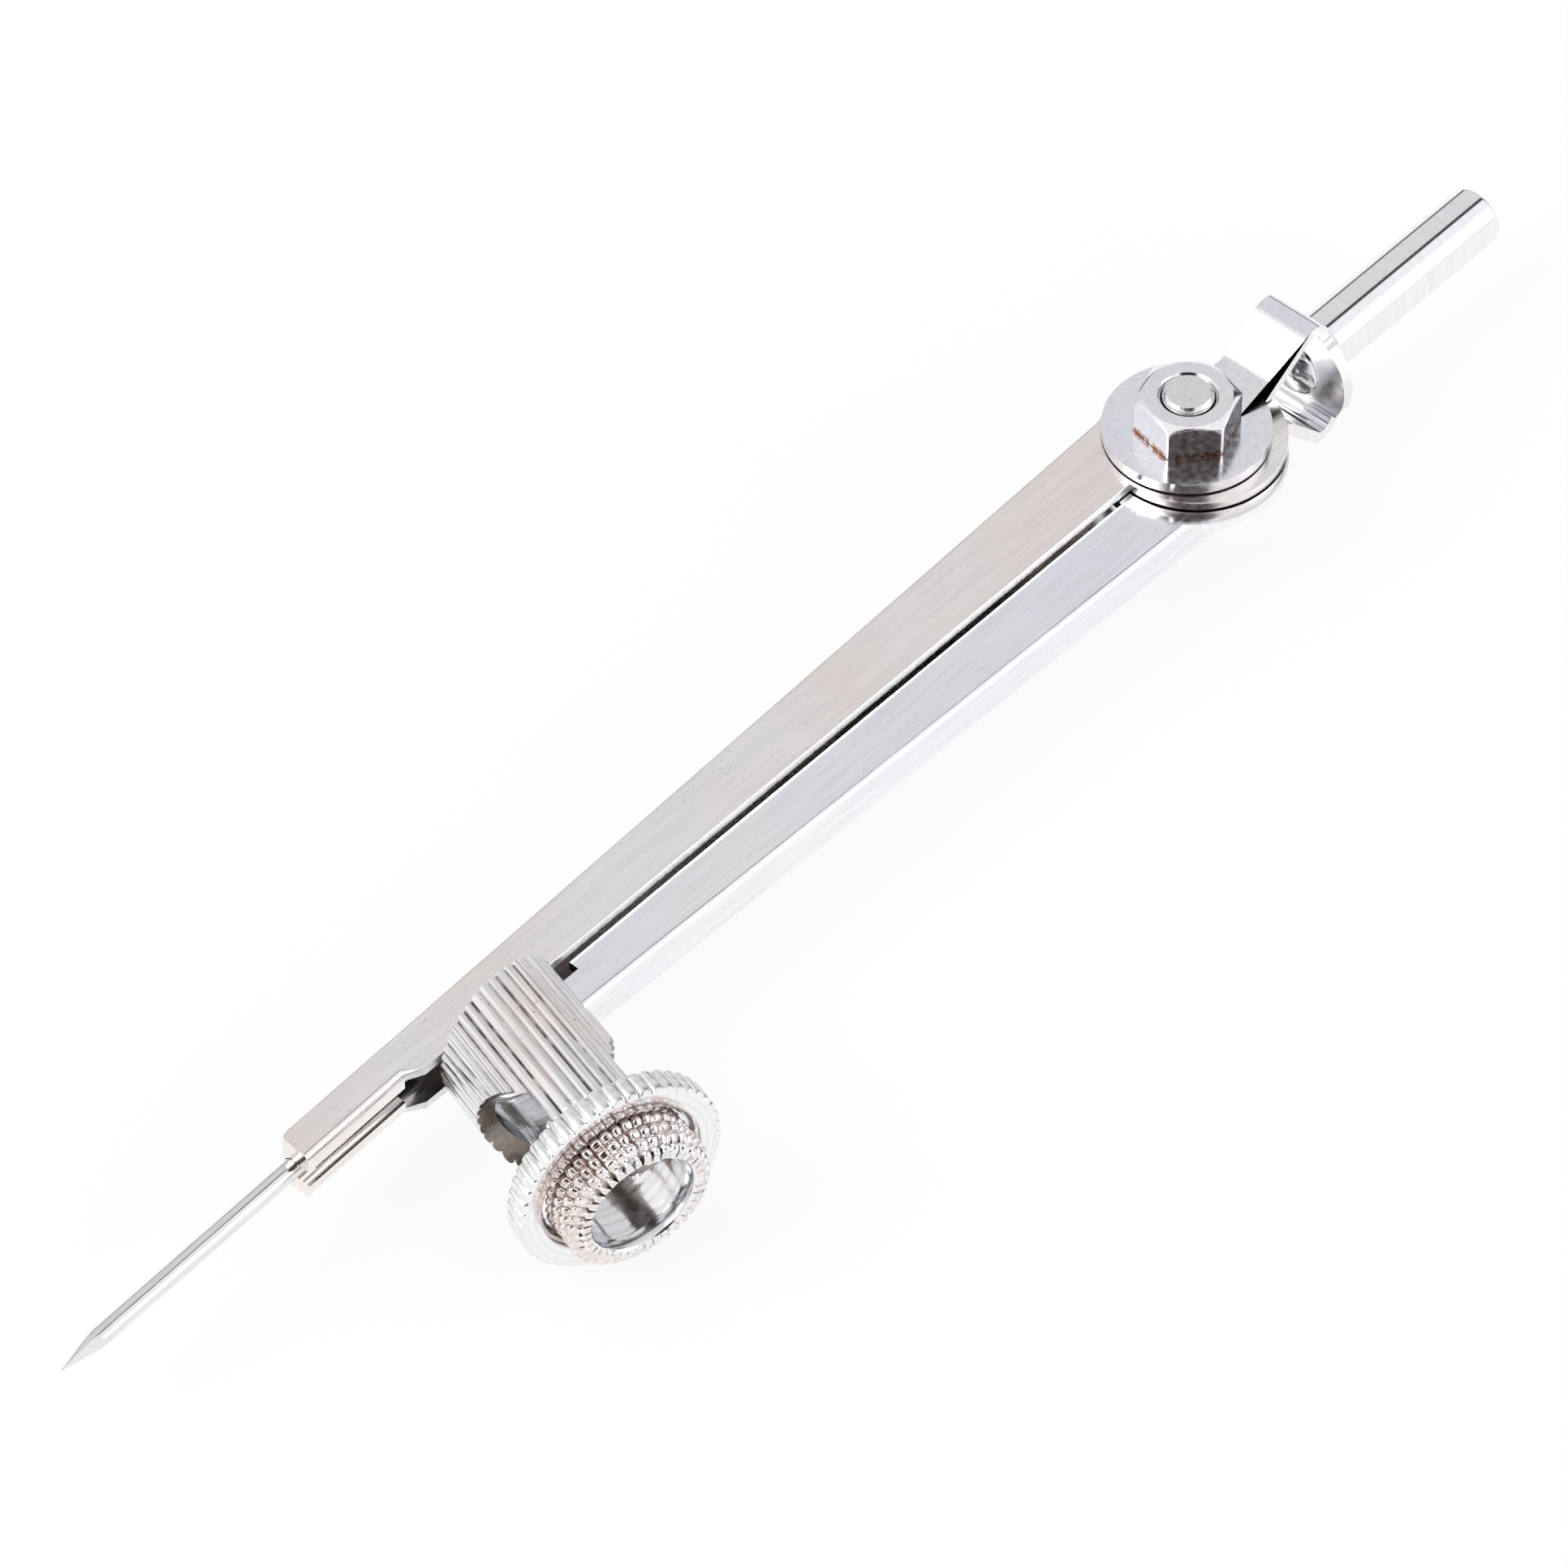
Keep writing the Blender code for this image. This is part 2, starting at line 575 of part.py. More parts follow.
def build_clamp_ring_nut(material):
    """Knurled ring nut, countersunk on its outer face."""
    edge = RING_NUT_CHAMFER
    stations = [
        (0, RING_NUT_RADIUS - edge),
        (edge, RING_NUT_RADIUS),
        (RING_NUT_THICKNESS - edge, RING_NUT_RADIUS),
        (RING_NUT_THICKNESS, RING_NUT_RADIUS - edge),
    ]
    nut = ribbed_bar("clamp_ring_nut", stations, RING_NUT_TOOTH_DEPTH, RING_NUT_TEETH, material)
    start = CLAMP_START + CLAMP_AXIS * RING_NUT_PLACE
    place(nut, start, CLAMP_AXIS)

    sink = RING_NUT_SINK_DEPTH
    slope = (RING_NUT_SINK_RADIUS - RING_NUT_BORE_RADIUS) / sink
    bore = turned(
        "clamp_ring_nut_bore",
        [
            (0, RING_NUT_THICKNESS + sink),
            (RING_NUT_SINK_RADIUS + slope * sink, RING_NUT_THICKNESS + sink),
            (RING_NUT_BORE_RADIUS, RING_NUT_THICKNESS - sink),
            (RING_NUT_BORE_RADIUS, -OVERRUN),
            (0, -OVERRUN),
        ],
        CUTTERS,
    )
    place(bore, start, CLAMP_AXIS)
    combine(nut, bore, "DIFFERENCE")
    return smooth(nut, math.radians(60))


def ring_profile(outer, inner, thickness, edge):
    """Closed profile of a flat ring with broken outer corners."""
    return [
        (inner, thickness),
        (outer - edge, thickness),
        (outer, thickness - edge),
        (outer, edge),
        (outer - edge, 0),
        (inner, 0),
    ]


def build_pressure_washer(material):
    """Thin ring behind the nut that bears on the pencil and doesn't turn."""
    edge = PRESSURE_WASHER_THICKNESS / 4
    profile = ring_profile(PRESSURE_WASHER_RADIUS, RING_NUT_BORE_RADIUS, PRESSURE_WASHER_THICKNESS, edge)
    washer = turned("clamp_pressure_washer", profile, PARTS, material, closed=True)
    back = RING_NUT_PLACE - SEAT_CLEARANCE - PRESSURE_WASHER_THICKNESS
    return place(washer, CLAMP_START + CLAMP_AXIS * back, CLAMP_AXIS)


def hexagon(flats, turn=0):
    """Corners of a hexagon with a given size across its flats."""
    corner = flats / 2 / math.cos(math.pi / 6)
    return arc((0, 0), corner, turn, turn + 2 * math.pi, 6)[:-1]


def hex_form(name, height, start, flip):
    """Turned form that chamfers the corners of a hexagon at one end."""
    corner = BOLT_FLATS / 2 / math.cos(math.pi / 6)
    rim = BOLT_FLATS / 2 - HEX_CHAMFER / 2
    wide = corner + OVERRUN
    slope = math.tan(math.pi / 6)
    side = height - (wide - rim) * slope
    profile = [(0, height + rim * slope), (wide, side), (wide, -OVERRUN), (0, -OVERRUN)]
    form = turned(name, profile, CUTTERS)
    return place(form, start, (0, 0, -1 if flip else 1))


def build_pivot_bolt(material):
    """Hexagon bolt that is the pivot, head underneath."""
    bolt = plate("pivot_bolt", hexagon(BOLT_FLATS), BOLT_HEAD_HEIGHT, PARTS, material)
    form = hex_form("pivot_bolt_head_form", BOLT_HEAD_HEIGHT, (0, 0, BOLT_HEAD_HEIGHT), True)
    combine(bolt, form, "INTERSECT")
    chamfer = BOLT_END_CHAMFER
    root = BOLT_HEAD_HEIGHT / 2
    shank = turned(
        "pivot_bolt_shank",
        [
            (0, BOLT_TOP),
            (BOLT_RADIUS - chamfer, BOLT_TOP),
            (BOLT_RADIUS, BOLT_TOP - chamfer),
            (BOLT_RADIUS, root),
            (0, root),
        ],
        CUTTERS,
        steps=SMALL_ROUND_STEPS,
    )
    combine(bolt, shank, "UNION")
    return smooth(bolt)


def build_pivot_nut(material):
    """Hexagon nut on top of the pivot."""
    nut = plate("pivot_nut", hexagon(BOLT_FLATS, NUT_TURN), NUT_HEIGHT, PARTS, material)
    nut.location = (0, 0, NUT_Z)
    form = hex_form("pivot_nut_form", NUT_HEIGHT, (0, 0, NUT_Z), False)
    combine(nut, form, "INTERSECT")
    bore = cylinder_cutter(
        "pivot_nut_bore",
        BOLT_RADIUS + NUT_BORE_CLEARANCE,
        (0, 0, NUT_Z - OVERRUN),
        (0, 0, 1),
        NUT_HEIGHT + 2 * OVERRUN,
        SMALL_ROUND_STEPS,
    )
    combine(nut, bore, "DIFFERENCE")
    return smooth(nut)


def rounded_line(points, radii):
    """Points in XZ with each inner corner rounded to its radius."""
    line = [points[0]]
    for before, corner, after, radius in zip(points, points[1:], points[2:], radii):
        corner = Vector(corner)
        inward = (Vector(before) - corner).normalized()
        outward = (Vector(after) - corner).normalized()
        half_turn = inward.angle(outward) / 2
        start = corner + inward * radius / math.tan(half_turn)
        end = corner + outward * radius / math.tan(half_turn)
        centre = corner + (inward + outward).normalized() * radius / math.sin(half_turn)
        for i in range(ARC_STEPS + 1):
            way = (start - centre).normalized().slerp((end - centre).normalized(), i / ARC_STEPS)
            line.append(tuple(centre + way * radius))
    line.append(points[-1])
    return line


def yoke_centre_line(eye_z, crest, side):
    """Centre line of one arm of the yoke, from its eye over its crest to the web."""
    half = YOKE_SHEET / 2
    web = YOKE_WEB_PLACE - half
    crest_z = HANDLE_Z + side * (crest - half)
    points = [
        (0, eye_z + half),
        (YOKE_NECK_REACH, eye_z + half),
        (YOKE_CREST_PLACE, crest_z),
        (web, crest_z),
        (web, HANDLE_Z + side * YOKE_ARM_OVERLAP),
    ]
    return rounded_line(points, (YOKE_NECK_BEND_RADIUS, YOKE_CREST_BEND_RADIUS, YOKE_BEND_RADIUS))


def web_outline():
    """Outline of the web: a round plate cut straight above and below."""
    upper = math.asin(YOKE_WEB_UPPER_CUT / YOKE_WEB_RADIUS)
    lower = math.asin(YOKE_WEB_LOWER_CUT / YOKE_WEB_RADIUS)
    right = arc((0, 0), YOKE_WEB_RADIUS, -lower, upper, 2 * ARC_STEPS)
    left = arc((0, 0), YOKE_WEB_RADIUS, math.pi - upper, math.pi + lower, 2 * ARC_STEPS)
    return right + left


def build_yoke(material):
    """One-piece sheet yoke: two eyes round the pivot, joined by a web for the handle."""
    eye = arc((0, 0), YOKE_UPPER_EYE_RADIUS, 0, 2 * math.pi, ROUND_STEPS)[:-1]
    yoke = plate("yoke", eye, YOKE_SHEET, PARTS, material)
    yoke.location = (0, 0, UPPER_EYE_Z)

    low_eye = turned(
        "yoke_lower_eye",
        [(0, YOKE_SHEET), (YOKE_LOWER_EYE_RADIUS, YOKE_SHEET), (YOKE_LOWER_EYE_RADIUS, 0), (0, 0)],
        CUTTERS,
    )
    low_eye.location = (0, 0, LOWER_EYE_Z)
    upper_line = yoke_centre_line(UPPER_EYE_Z, YOKE_CREST_HEIGHT, 1)
    upper = strip("yoke_upper_arm", upper_line, YOKE_UPPER_WIDTH, YOKE_SHEET, CUTTERS)
    lower_line = yoke_centre_line(LOWER_EYE_Z, YOKE_FOOT_DEPTH, -1)
    lower = strip("yoke_lower_arm", lower_line, YOKE_LOWER_WIDTH, YOKE_SHEET, CUTTERS)
    web = plate("yoke_web", web_outline(), YOKE_SHEET + 2 * YOKE_WEB_SWELL, CUTTERS)
    place(web, (YOKE_WEB_INNER - YOKE_WEB_SWELL, 0, HANDLE_Z), (1, 0, 0))
    for piece in (upper, web, lower, low_eye):
        combine(yoke, piece, "UNION")

    tenon_hole = cylinder_cutter(
        "yoke_tenon_hole",
        HANDLE_TENON_RADIUS + HANDLE_TENON_CLEARANCE,
        (YOKE_WEB_INNER - OVERRUN, 0, HANDLE_Z),
        (1, 0, 0),
        YOKE_SHEET + 2 * OVERRUN,
        SMALL_ROUND_STEPS,
    )
    combine(yoke, tenon_hole, "DIFFERENCE")
    combine(yoke, PIVOT_HOLE, "DIFFERENCE")
    return smooth(yoke)


def build_handle_rod(material):
    """Round handle with a tenon through the web and a riveted tail inside."""
    tail_start = YOKE_WEB_INNER - SEAT_CLEARANCE
    tail_end = tail_start - HANDLE_TAIL_HEIGHT
    rod_start = YOKE_WEB_PLACE + SEAT_CLEARANCE
    length = HANDLE_END_PLACE - tail_end
    chamfer = HANDLE_END_CHAMFER
    tail_edge_share = 0.55
    profile = [
        (0, length),
        (HANDLE_RADIUS - chamfer, length),
        (HANDLE_RADIUS, length - chamfer),
        (HANDLE_RADIUS, rod_start - tail_end),
        (HANDLE_TENON_RADIUS, rod_start - tail_end),
        (HANDLE_TENON_RADIUS, tail_start - tail_end),
        (HANDLE_TAIL_RADIUS, tail_start - tail_end),
        (HANDLE_TAIL_RADIUS * tail_edge_share, 0),
        (0, 0),
    ]
    rod = turned("handle_rod", profile, PARTS, material, steps=SMALL_ROUND_STEPS)
    return place(rod, (tail_end, 0, HANDLE_Z), (1, 0, 0))


def main():
    """Build the compass, one object for each piece."""
    nickel = (0.72, 0.71, 0.69)
    bright_steel = (0.66, 0.66, 0.67)
    build_needle_leg(metal("needle_leg", nickel, 0.22))
    build_needle(metal("needle", bright_steel, 0.15))
    build_pencil_leg(metal("pencil_leg", nickel, 0.22))
    build_clamp_barrel(metal("clamp_barrel", nickel, 0.18))
    build_clamp_ring_nut(metal("clamp_ring_nut", nickel, 0.2))
    build_pressure_washer(metal("clamp_pressure_washer", bright_steel, 0.25))
    build_yoke(metal("yoke", nickel, 0.2))
    build_handle_rod(metal("handle_rod", nickel, 0.15))
    build_pivot_bolt(metal("pivot_bolt", bright_steel, 0.3))
    build_pivot_nut(metal("pivot_nut", bright_steel, 0.25))


clear_scene()
PARTS = new_collection("drawing_compass")
CUTTERS = new_collection("cutters")
PIVOT_HOLE = cylinder_cutter("pivot_hole", PIVOT_HOLE_RADIUS, (0, 0, 0), (0, 0, 1), BOLT_TOP, SMALL_ROUND_STEPS)
main()
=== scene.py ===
"""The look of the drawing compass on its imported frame, with a plain studio round it.

Every piece is built again with fine edges, takes the place of its node in the frame and
rides on the same body. Lengths are metres, in the frame's own axes: +X runs along the
handle, +Y is the needle leg's side and +Z is the pivot bolt's axis.
"""

import logging
import math
from dataclasses import dataclass
from enum import Enum
from typing import Callable, Sequence

import bmesh
import bpy
from mathutils import Matrix, Quaternion, Vector

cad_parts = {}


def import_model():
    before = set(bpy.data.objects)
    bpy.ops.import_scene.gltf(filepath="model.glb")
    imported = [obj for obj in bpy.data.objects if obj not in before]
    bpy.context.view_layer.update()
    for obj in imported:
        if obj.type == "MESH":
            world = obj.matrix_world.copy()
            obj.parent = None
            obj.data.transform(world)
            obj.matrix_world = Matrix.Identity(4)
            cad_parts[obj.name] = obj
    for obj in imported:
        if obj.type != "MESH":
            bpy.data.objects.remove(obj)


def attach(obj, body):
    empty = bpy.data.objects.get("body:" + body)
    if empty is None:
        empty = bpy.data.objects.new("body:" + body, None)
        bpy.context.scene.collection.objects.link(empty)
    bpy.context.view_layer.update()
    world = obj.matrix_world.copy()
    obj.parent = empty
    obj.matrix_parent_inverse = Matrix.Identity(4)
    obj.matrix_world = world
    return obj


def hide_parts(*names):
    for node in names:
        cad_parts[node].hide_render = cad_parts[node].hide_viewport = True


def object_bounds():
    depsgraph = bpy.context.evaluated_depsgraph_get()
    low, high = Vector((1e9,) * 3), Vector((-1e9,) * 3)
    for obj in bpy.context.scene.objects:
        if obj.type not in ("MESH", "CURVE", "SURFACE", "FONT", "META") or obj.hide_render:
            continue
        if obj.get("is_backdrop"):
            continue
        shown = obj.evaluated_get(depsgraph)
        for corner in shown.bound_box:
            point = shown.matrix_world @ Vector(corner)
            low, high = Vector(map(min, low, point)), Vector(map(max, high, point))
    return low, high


MM = 0.001
IDENTITY = Matrix()
LOG = logging.getLogger("compass")

Pair = tuple[float, float]
Triple = tuple[float, float, float]


class Body(Enum):
    """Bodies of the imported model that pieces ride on."""

    YOKE = "yoke_and_pivot"
    NEEDLE = "needle_arm"
    PENCIL = "pencil_arm"
    FOLLOWER = "clamp_follower"
    NUT = "clamp_nut"


class Slot(Enum):
    """Names of the finishes of the record."""

    SHEET = "nickel_sheet"
    TURNED = "nickel_turned"
    STEEL = "bright_steel"


class Grain(Enum):
    """Direction of the fine lines in a metal's surface."""

    BRUSHED = "brushed"
    TURNED = "turned"
    PLAIN = "plain"


def arc(centre: Pair, radius: float, start: float, end: float, steps: int = 16) -> list[Pair]:
    """Points on an arc, both ends included.

    Args:
        centre: Middle of the arc.
        radius: Radius of the arc.
        start: First angle in radians.
        end: Last angle in radians.
        steps: Number of equal steps.

    Returns:
        The points in order.
    """
    turn = (end - start) / steps
    return [
        (centre[0] + radius * math.cos(start + turn * i), centre[1] + radius * math.sin(start + turn * i))
        for i in range(steps + 1)
    ]


def circle(centre: Pair, radius: float, steps: int = 128) -> list[Pair]:
    """Points round a full circle.

    Args:
        centre: Middle of the circle.
        radius: Radius of the circle.
        steps: Number of points.

    Returns:
        The points in order, without a repeated end.
    """
    return arc(centre, radius, 0, 2 * math.pi, steps)[:-1]


def round_corner(before: Pair, corner: Pair, after: Pair, radius: float, steps: int) -> list[Pair]:
    """Replace one corner of a line by an arc.

    Args:
        before: Point ahead of the corner.
        corner: The corner.
        after: Point behind the corner.
        radius: Radius of the arc, or zero for a sharp corner.
        steps: Number of steps in the arc.

    Returns:
        The points that take the corner's place.
    """
    if radius <= 0:
        return [corner]
    middle = Vector(corner)
    inward = (Vector(before) - middle).normalized()
    outward = (Vector(after) - middle).normalized()
    half_turn = inward.angle(outward) / 2
    centre = middle + (inward + outward).normalized() * radius / math.sin(half_turn)
    first = (middle + inward * radius / math.tan(half_turn) - centre).normalized()
    last = (middle + outward * radius / math.tan(half_turn) - centre).normalized()
    return [tuple(centre + first.slerp(last, i / steps) * radius) for i in range(steps + 1)]


def rounded(points: Sequence[Pair], radii: Sequence[float], closed: bool = False, steps: int = 8) -> list[Pair]:
    """Round the corners of a line or a closed outline.

    Args:
        points: Corners in order.
        radii: One radius for each corner that can be rounded.
        closed: Whether the last point joins the first.
        steps: Number of steps in each arc.

    Returns:
        The rounded line.
    """
    count = len(points)
    if closed:
        line = []
        for i, radius in enumerate(radii):
            line += round_corner(points[i - 1], points[i], points[(i + 1) % count], radius, steps)
        return line
    line = [points[0]]
    for i, radius in enumerate(radii, start=1):
        line += round_corner(points[i - 1], points[i], points[i + 1], radius, steps)
    return line + [points[-1]]


def along(direction: Sequence[float]) -> Quaternion:
    """Rotation that turns +Z to a direction, with +Y kept upright where it can be.

    Args:
        direction: Where +Z ends up.

    Returns:
        The rotation.
    """
    way = Vector(direction).normalized()
    if abs(way.z) > 0.999999:
        return Quaternion() if way.z > 0 else Quaternion((0, 1, 0, 0))
    return way.to_track_quat("Z", "Y")


def frame_at(place: Sequence[float], direction: Sequence[float] = (0, 0, 1)) -> Matrix:
    """Frame with its origin at a place and its Z axis along a direction.

    Args:
        place: Origin of the frame.
        direction: Where the frame's Z axis points.

    Returns:
        The frame as a matrix.
    """
    return Matrix.Translation(Vector(place)) @ along(direction).to_matrix().to_4x4()


def add_object(name: str, form: bmesh.types.BMesh, frame: Matrix) -> bpy.types.Object:
    """Turn a finished form into an object in the scene.

    Args:
        name: Name of the object.
        form: The form, which is freed here.
        frame: Where the object stands.

    Returns:
        The object.
    """
    bmesh.ops.recalc_face_normals(form, faces=form.faces)
    mesh = bpy.data.meshes.new(name)
    form.to_mesh(mesh)
    form.free()
    item = bpy.data.objects.new(name, mesh)
    bpy.context.scene.collection.objects.link(item)
    item.matrix_world = frame
    return item


def loft(
    name: str, rings: Sequence[Sequence[Triple]], frame: Matrix = IDENTITY, wrap: bool = False
) -> bpy.types.Object:
    """Solid through a row of rings with as many points each.

    Args:
        name: Name of the object.
        rings: Rings of points in order.
        frame: Where the object stands.
        wrap: Whether the last ring joins the first, in place of two end faces.

    Returns:
        The object.
    """
    form = bmesh.new()
    rows = [[form.verts.new(point) for point in ring] for ring in rings]
    pairs = list(zip(rows, rows[1:]))
    if wrap:
        pairs.append((rows[-1], rows[0]))
    else:
        form.faces.new(rows[0])
        form.faces.new(rows[-1])
    for low, high in pairs:
        for i in range(len(low)):
            form.faces.new((low[i - 1], low[i], high[i], high[i - 1]))
    return add_object(name, form, frame)


def lathe(
    name: str, profile: Sequence[Pair], frame: Matrix = IDENTITY, steps: int = 128, wrap: bool = False
) -> bpy.types.Object:
    """Turned solid round the frame's Z axis.

    Args:
        name: Name of the object.
        profile: Points of (radius, height); a radius of zero closes the form.
        frame: Where the object stands.
        steps: Number of steps round the axis.
        wrap: Whether the last point joins the first, as on a ring.

    Returns:
        The object.
    """
    form = bmesh.new()
    rows = []
    for radius, height in profile:
        if radius <= 0:
            rows.append([form.verts.new((0, 0, height))])
        else:
            rows.append([form.verts.new((x, y, height)) for x, y in circle((0, 0), radius, steps)])
    pairs = list(zip(rows, rows[1:]))
    if wrap:
        pairs.append((rows[-1], rows[0]))
    for low, high in pairs:
        for i in range(steps):
            corners = [low[i - 1], low[i]] if len(low) > 1 else [low[0]]
            corners += [high[i], high[i - 1]] if len(high) > 1 else [high[0]]
            if len(corners) > 2:
                form.faces.new(corners)
    return add_object(name, form, frame)


def plate(name: str, outline: Sequence[Pair], low: float, high: float, frame: Matrix = IDENTITY) -> bpy.types.Object:
    """Flat plate with an outline in the frame's XY plane.

    Args:
        name: Name of the object.
        outline: Outline in order.
        low: Height of its underside.
        high: Height of its top.
        frame: Where the object stands.

    Returns:
        The object.
    """
    return loft(name, [[(x, y, z) for x, y in outline] for z in (low, high)], frame)


def strip(name: str, line: Sequence[Pair], width: float, thickness: float) -> bpy.types.Object:
    """Bent strip of sheet that follows a line in XZ.

    Args:
        name: Name of the object.
        line: Centre line of the sheet.
        width: Width along Y.
        thickness: Thickness of the sheet.

    Returns:
        The object.
    """
    left, right = [], []
    for i, point in enumerate(line):
        ahead = Vector(line[min(i + 1, len(line) - 1)])
        back = Vector(line[max(i - 1, 0)])
        way = (ahead - back).normalized()
        offset = Vector((-way.y, way.x)) * thickness / 2
        left.append(tuple(Vector(point) + offset))
        right.append(tuple(Vector(point) - offset))
    upright = Matrix.Rotation(math.pi / 2, 4, "X")
    return plate(name, left + right[::-1], -width / 2, width / 2, upright)


def block(name: str, low: Triple, high: Triple) -> bpy.types.Object:
    """Box between two corners.

    Args:
        name: Name of the object.
        low: Lowest corner.
        high: Highest corner.

    Returns:
        The object.
    """
    outline = [(low[0], low[1]), (high[0], low[1]), (high[0], high[1]), (low[0], high[1])]
    return plate(name, outline, low[2], high[2])


def settle(item: bpy.types.Object) -> bpy.types.Object:
    """Keep the result of an object's modifiers as its mesh.

    Args:
        item: The object.

    Returns:
        The same object.
    """
    bpy.context.view_layer.update()
    depsgraph = bpy.context.evaluated_depsgraph_get()
    mesh = bpy.data.meshes.new_from_object(item.evaluated_get(depsgraph))
    item.modifiers.clear()
    item.data = mesh
    return item


def combine(item: bpy.types.Object, operation: str, *tools: bpy.types.Object) -> bpy.types.Object:
    """Join, cut or intersect an object with others, which are used up.

    Args:
        item: The object that changes.
        operation: Name of the Boolean operation.
        *tools: The other objects.

    Returns:
        The changed object.
    """
    for tool in tools:
        step = item.modifiers.new(operation.lower(), "BOOLEAN")
        step.operation = operation
        step.solver = "EXACT"
        step.material_mode = "TRANSFER"
        step.object = tool
    settle(item)
    for tool in tools:
        bpy.data.objects.remove(tool, do_unlink=True)
    return item


def soften(item: bpy.types.Object, width: float, sharp: float = 32.0, segments: int = 3) -> bpy.types.Object:
    """Round an object's edges a little and shade it smooth.

    Args:
        item: The object.
        width: Width of the rounded edges, or zero to leave them sharp.
        sharp: Angle in degrees from which an edge counts as one.
        segments: Number of steps across each rounded edge.

    Returns:
        The same object.
    """
    if width > 0:
        edge = item.modifiers.new("edges", "BEVEL")
        edge.width = width
        edge.segments = segments
        edge.limit_method = "ANGLE"
        edge.angle_limit = math.radians(sharp)
        edge.use_clamp_overlap = True
        settle(item)
    item.data.shade_smooth()
    item.data.set_sharp_from_angle(angle=math.radians(sharp + 8))
    normals = item.modifiers.new("flat faces", "WEIGHTED_NORMAL")
    normals.keep_sharp = True
    normals.weight = 60
    return item


def uneven(number: int, seed: float) -> float:
    """Repeatable value that stands for the unevenness of handwork.

    Args:
        number: Which tooth, flute or mark it is for.
        seed: Chooses the row of values.

    Returns:
        A value from -1 to 1.
    """
    value = math.sin((number + 1) * 12.9898 + seed * 78.233) * 43758.5453
    return 2 * (value - math.floor(value)) - 1


class NodeBench:
    """Short ways to add and join the nodes of one material or world."""

    def __init__(self, tree: bpy.types.NodeTree) -> None:
        """Keep the tree that is worked on.

        Args:
            tree: The node tree.
        """
        self.tree = tree

    def add(self, kind: str, **settings: object) -> bpy.types.Node:
        """Add a node and set its properties.

        Args:
            kind: Type name of the node.
            **settings: Properties of the node by name.

        Returns:
            The node.
        """
        node = self.tree.nodes.new(kind)
        for name, value in settings.items():
            setattr(node, name, value)
        return node

    def feed(self, target: bpy.types.NodeSocket, source: object) -> None:
        """Join a socket to another one, or give it a value.

        Args:
            target: The input.
            source: An output socket or a plain value.
        """
        if isinstance(source, bpy.types.NodeSocket):
            self.tree.links.new(source, target)
        elif isinstance(source, (tuple, list)) and len(source) == 3 and target.type == "RGBA":
            target.default_value = (*source, 1.0)
        else:
            target.default_value = source

    def noise(self, vector: bpy.types.NodeSocket, scale: float, detail: float = 3.0) -> bpy.types.NodeSocket:
        """Noise from 0 to 1.

        Args:
            vector: Where it is read.
            scale: Number of features in a metre.
            detail: How many finer layers it has.

        Returns:
            The value.
        """
        node = self.add("ShaderNodeTexNoise")
        self.feed(node.inputs["Vector"], vector)
        self.feed(node.inputs["Scale"], scale)
        self.feed(node.inputs["Detail"], detail)
        return node.outputs["Fac"]

    def span(
        self, value: object, low: float, high: float, first: float = 0.0, last: float = 1.0
    ) -> bpy.types.NodeSocket:
        """Map a value from one span to another, smoothly and without running over.

        Args:
            value: The value.
            low: Start of the span it has.
            high: End of the span it has.
            first: What the start becomes.
            last: What the end becomes.

        Returns:
            The mapped value.
        """
        node = self.add("ShaderNodeMapRange", interpolation_type="SMOOTHSTEP", clamp=True)
        limits = (("From Min", low), ("From Max", high), ("To Min", first), ("To Max", last))
        for name, part in (("Value", value), *limits):
            self.feed(node.inputs[name], part)
        return node.outputs["Result"]

    def math(self, operation: str, first: object, second: object = 0.0) -> bpy.types.NodeSocket:
        """Work out one sum.

        Args:
            operation: Name of the operation.
            first: First value.
            second: Second value.

        Returns:
            The result.
        """
        node = self.add("ShaderNodeMath", operation=operation)
        self.feed(node.inputs[0], first)
        self.feed(node.inputs[1], second)
        return node.outputs[0]

    def blend(self, share: object, first: object, second: object) -> bpy.types.NodeSocket:
        """Mix two colours.

        Args:
            share: Share of the second one.
            first: First colour.
            second: Second colour.

        Returns:
            The mixed colour.
        """
        node = self.add("ShaderNodeMix", data_type="RGBA")
        self.feed(node.inputs[0], share)
        self.feed(node.inputs[6], first)
        self.feed(node.inputs[7], second)
        return node.outputs[2]

    def dot(self, vector: bpy.types.NodeSocket, direction: Triple) -> bpy.types.NodeSocket:
        """How far a vector runs along a direction.

        Args:
            vector: The vector.
            direction: The direction, as a unit vector.

        Returns:
            The value.
        """
        node = self.add("ShaderNodeVectorMath", operation="DOT_PRODUCT")
        self.feed(node.inputs[0], vector)
        node.inputs[1].default_value = direction
        return node.outputs["Value"]


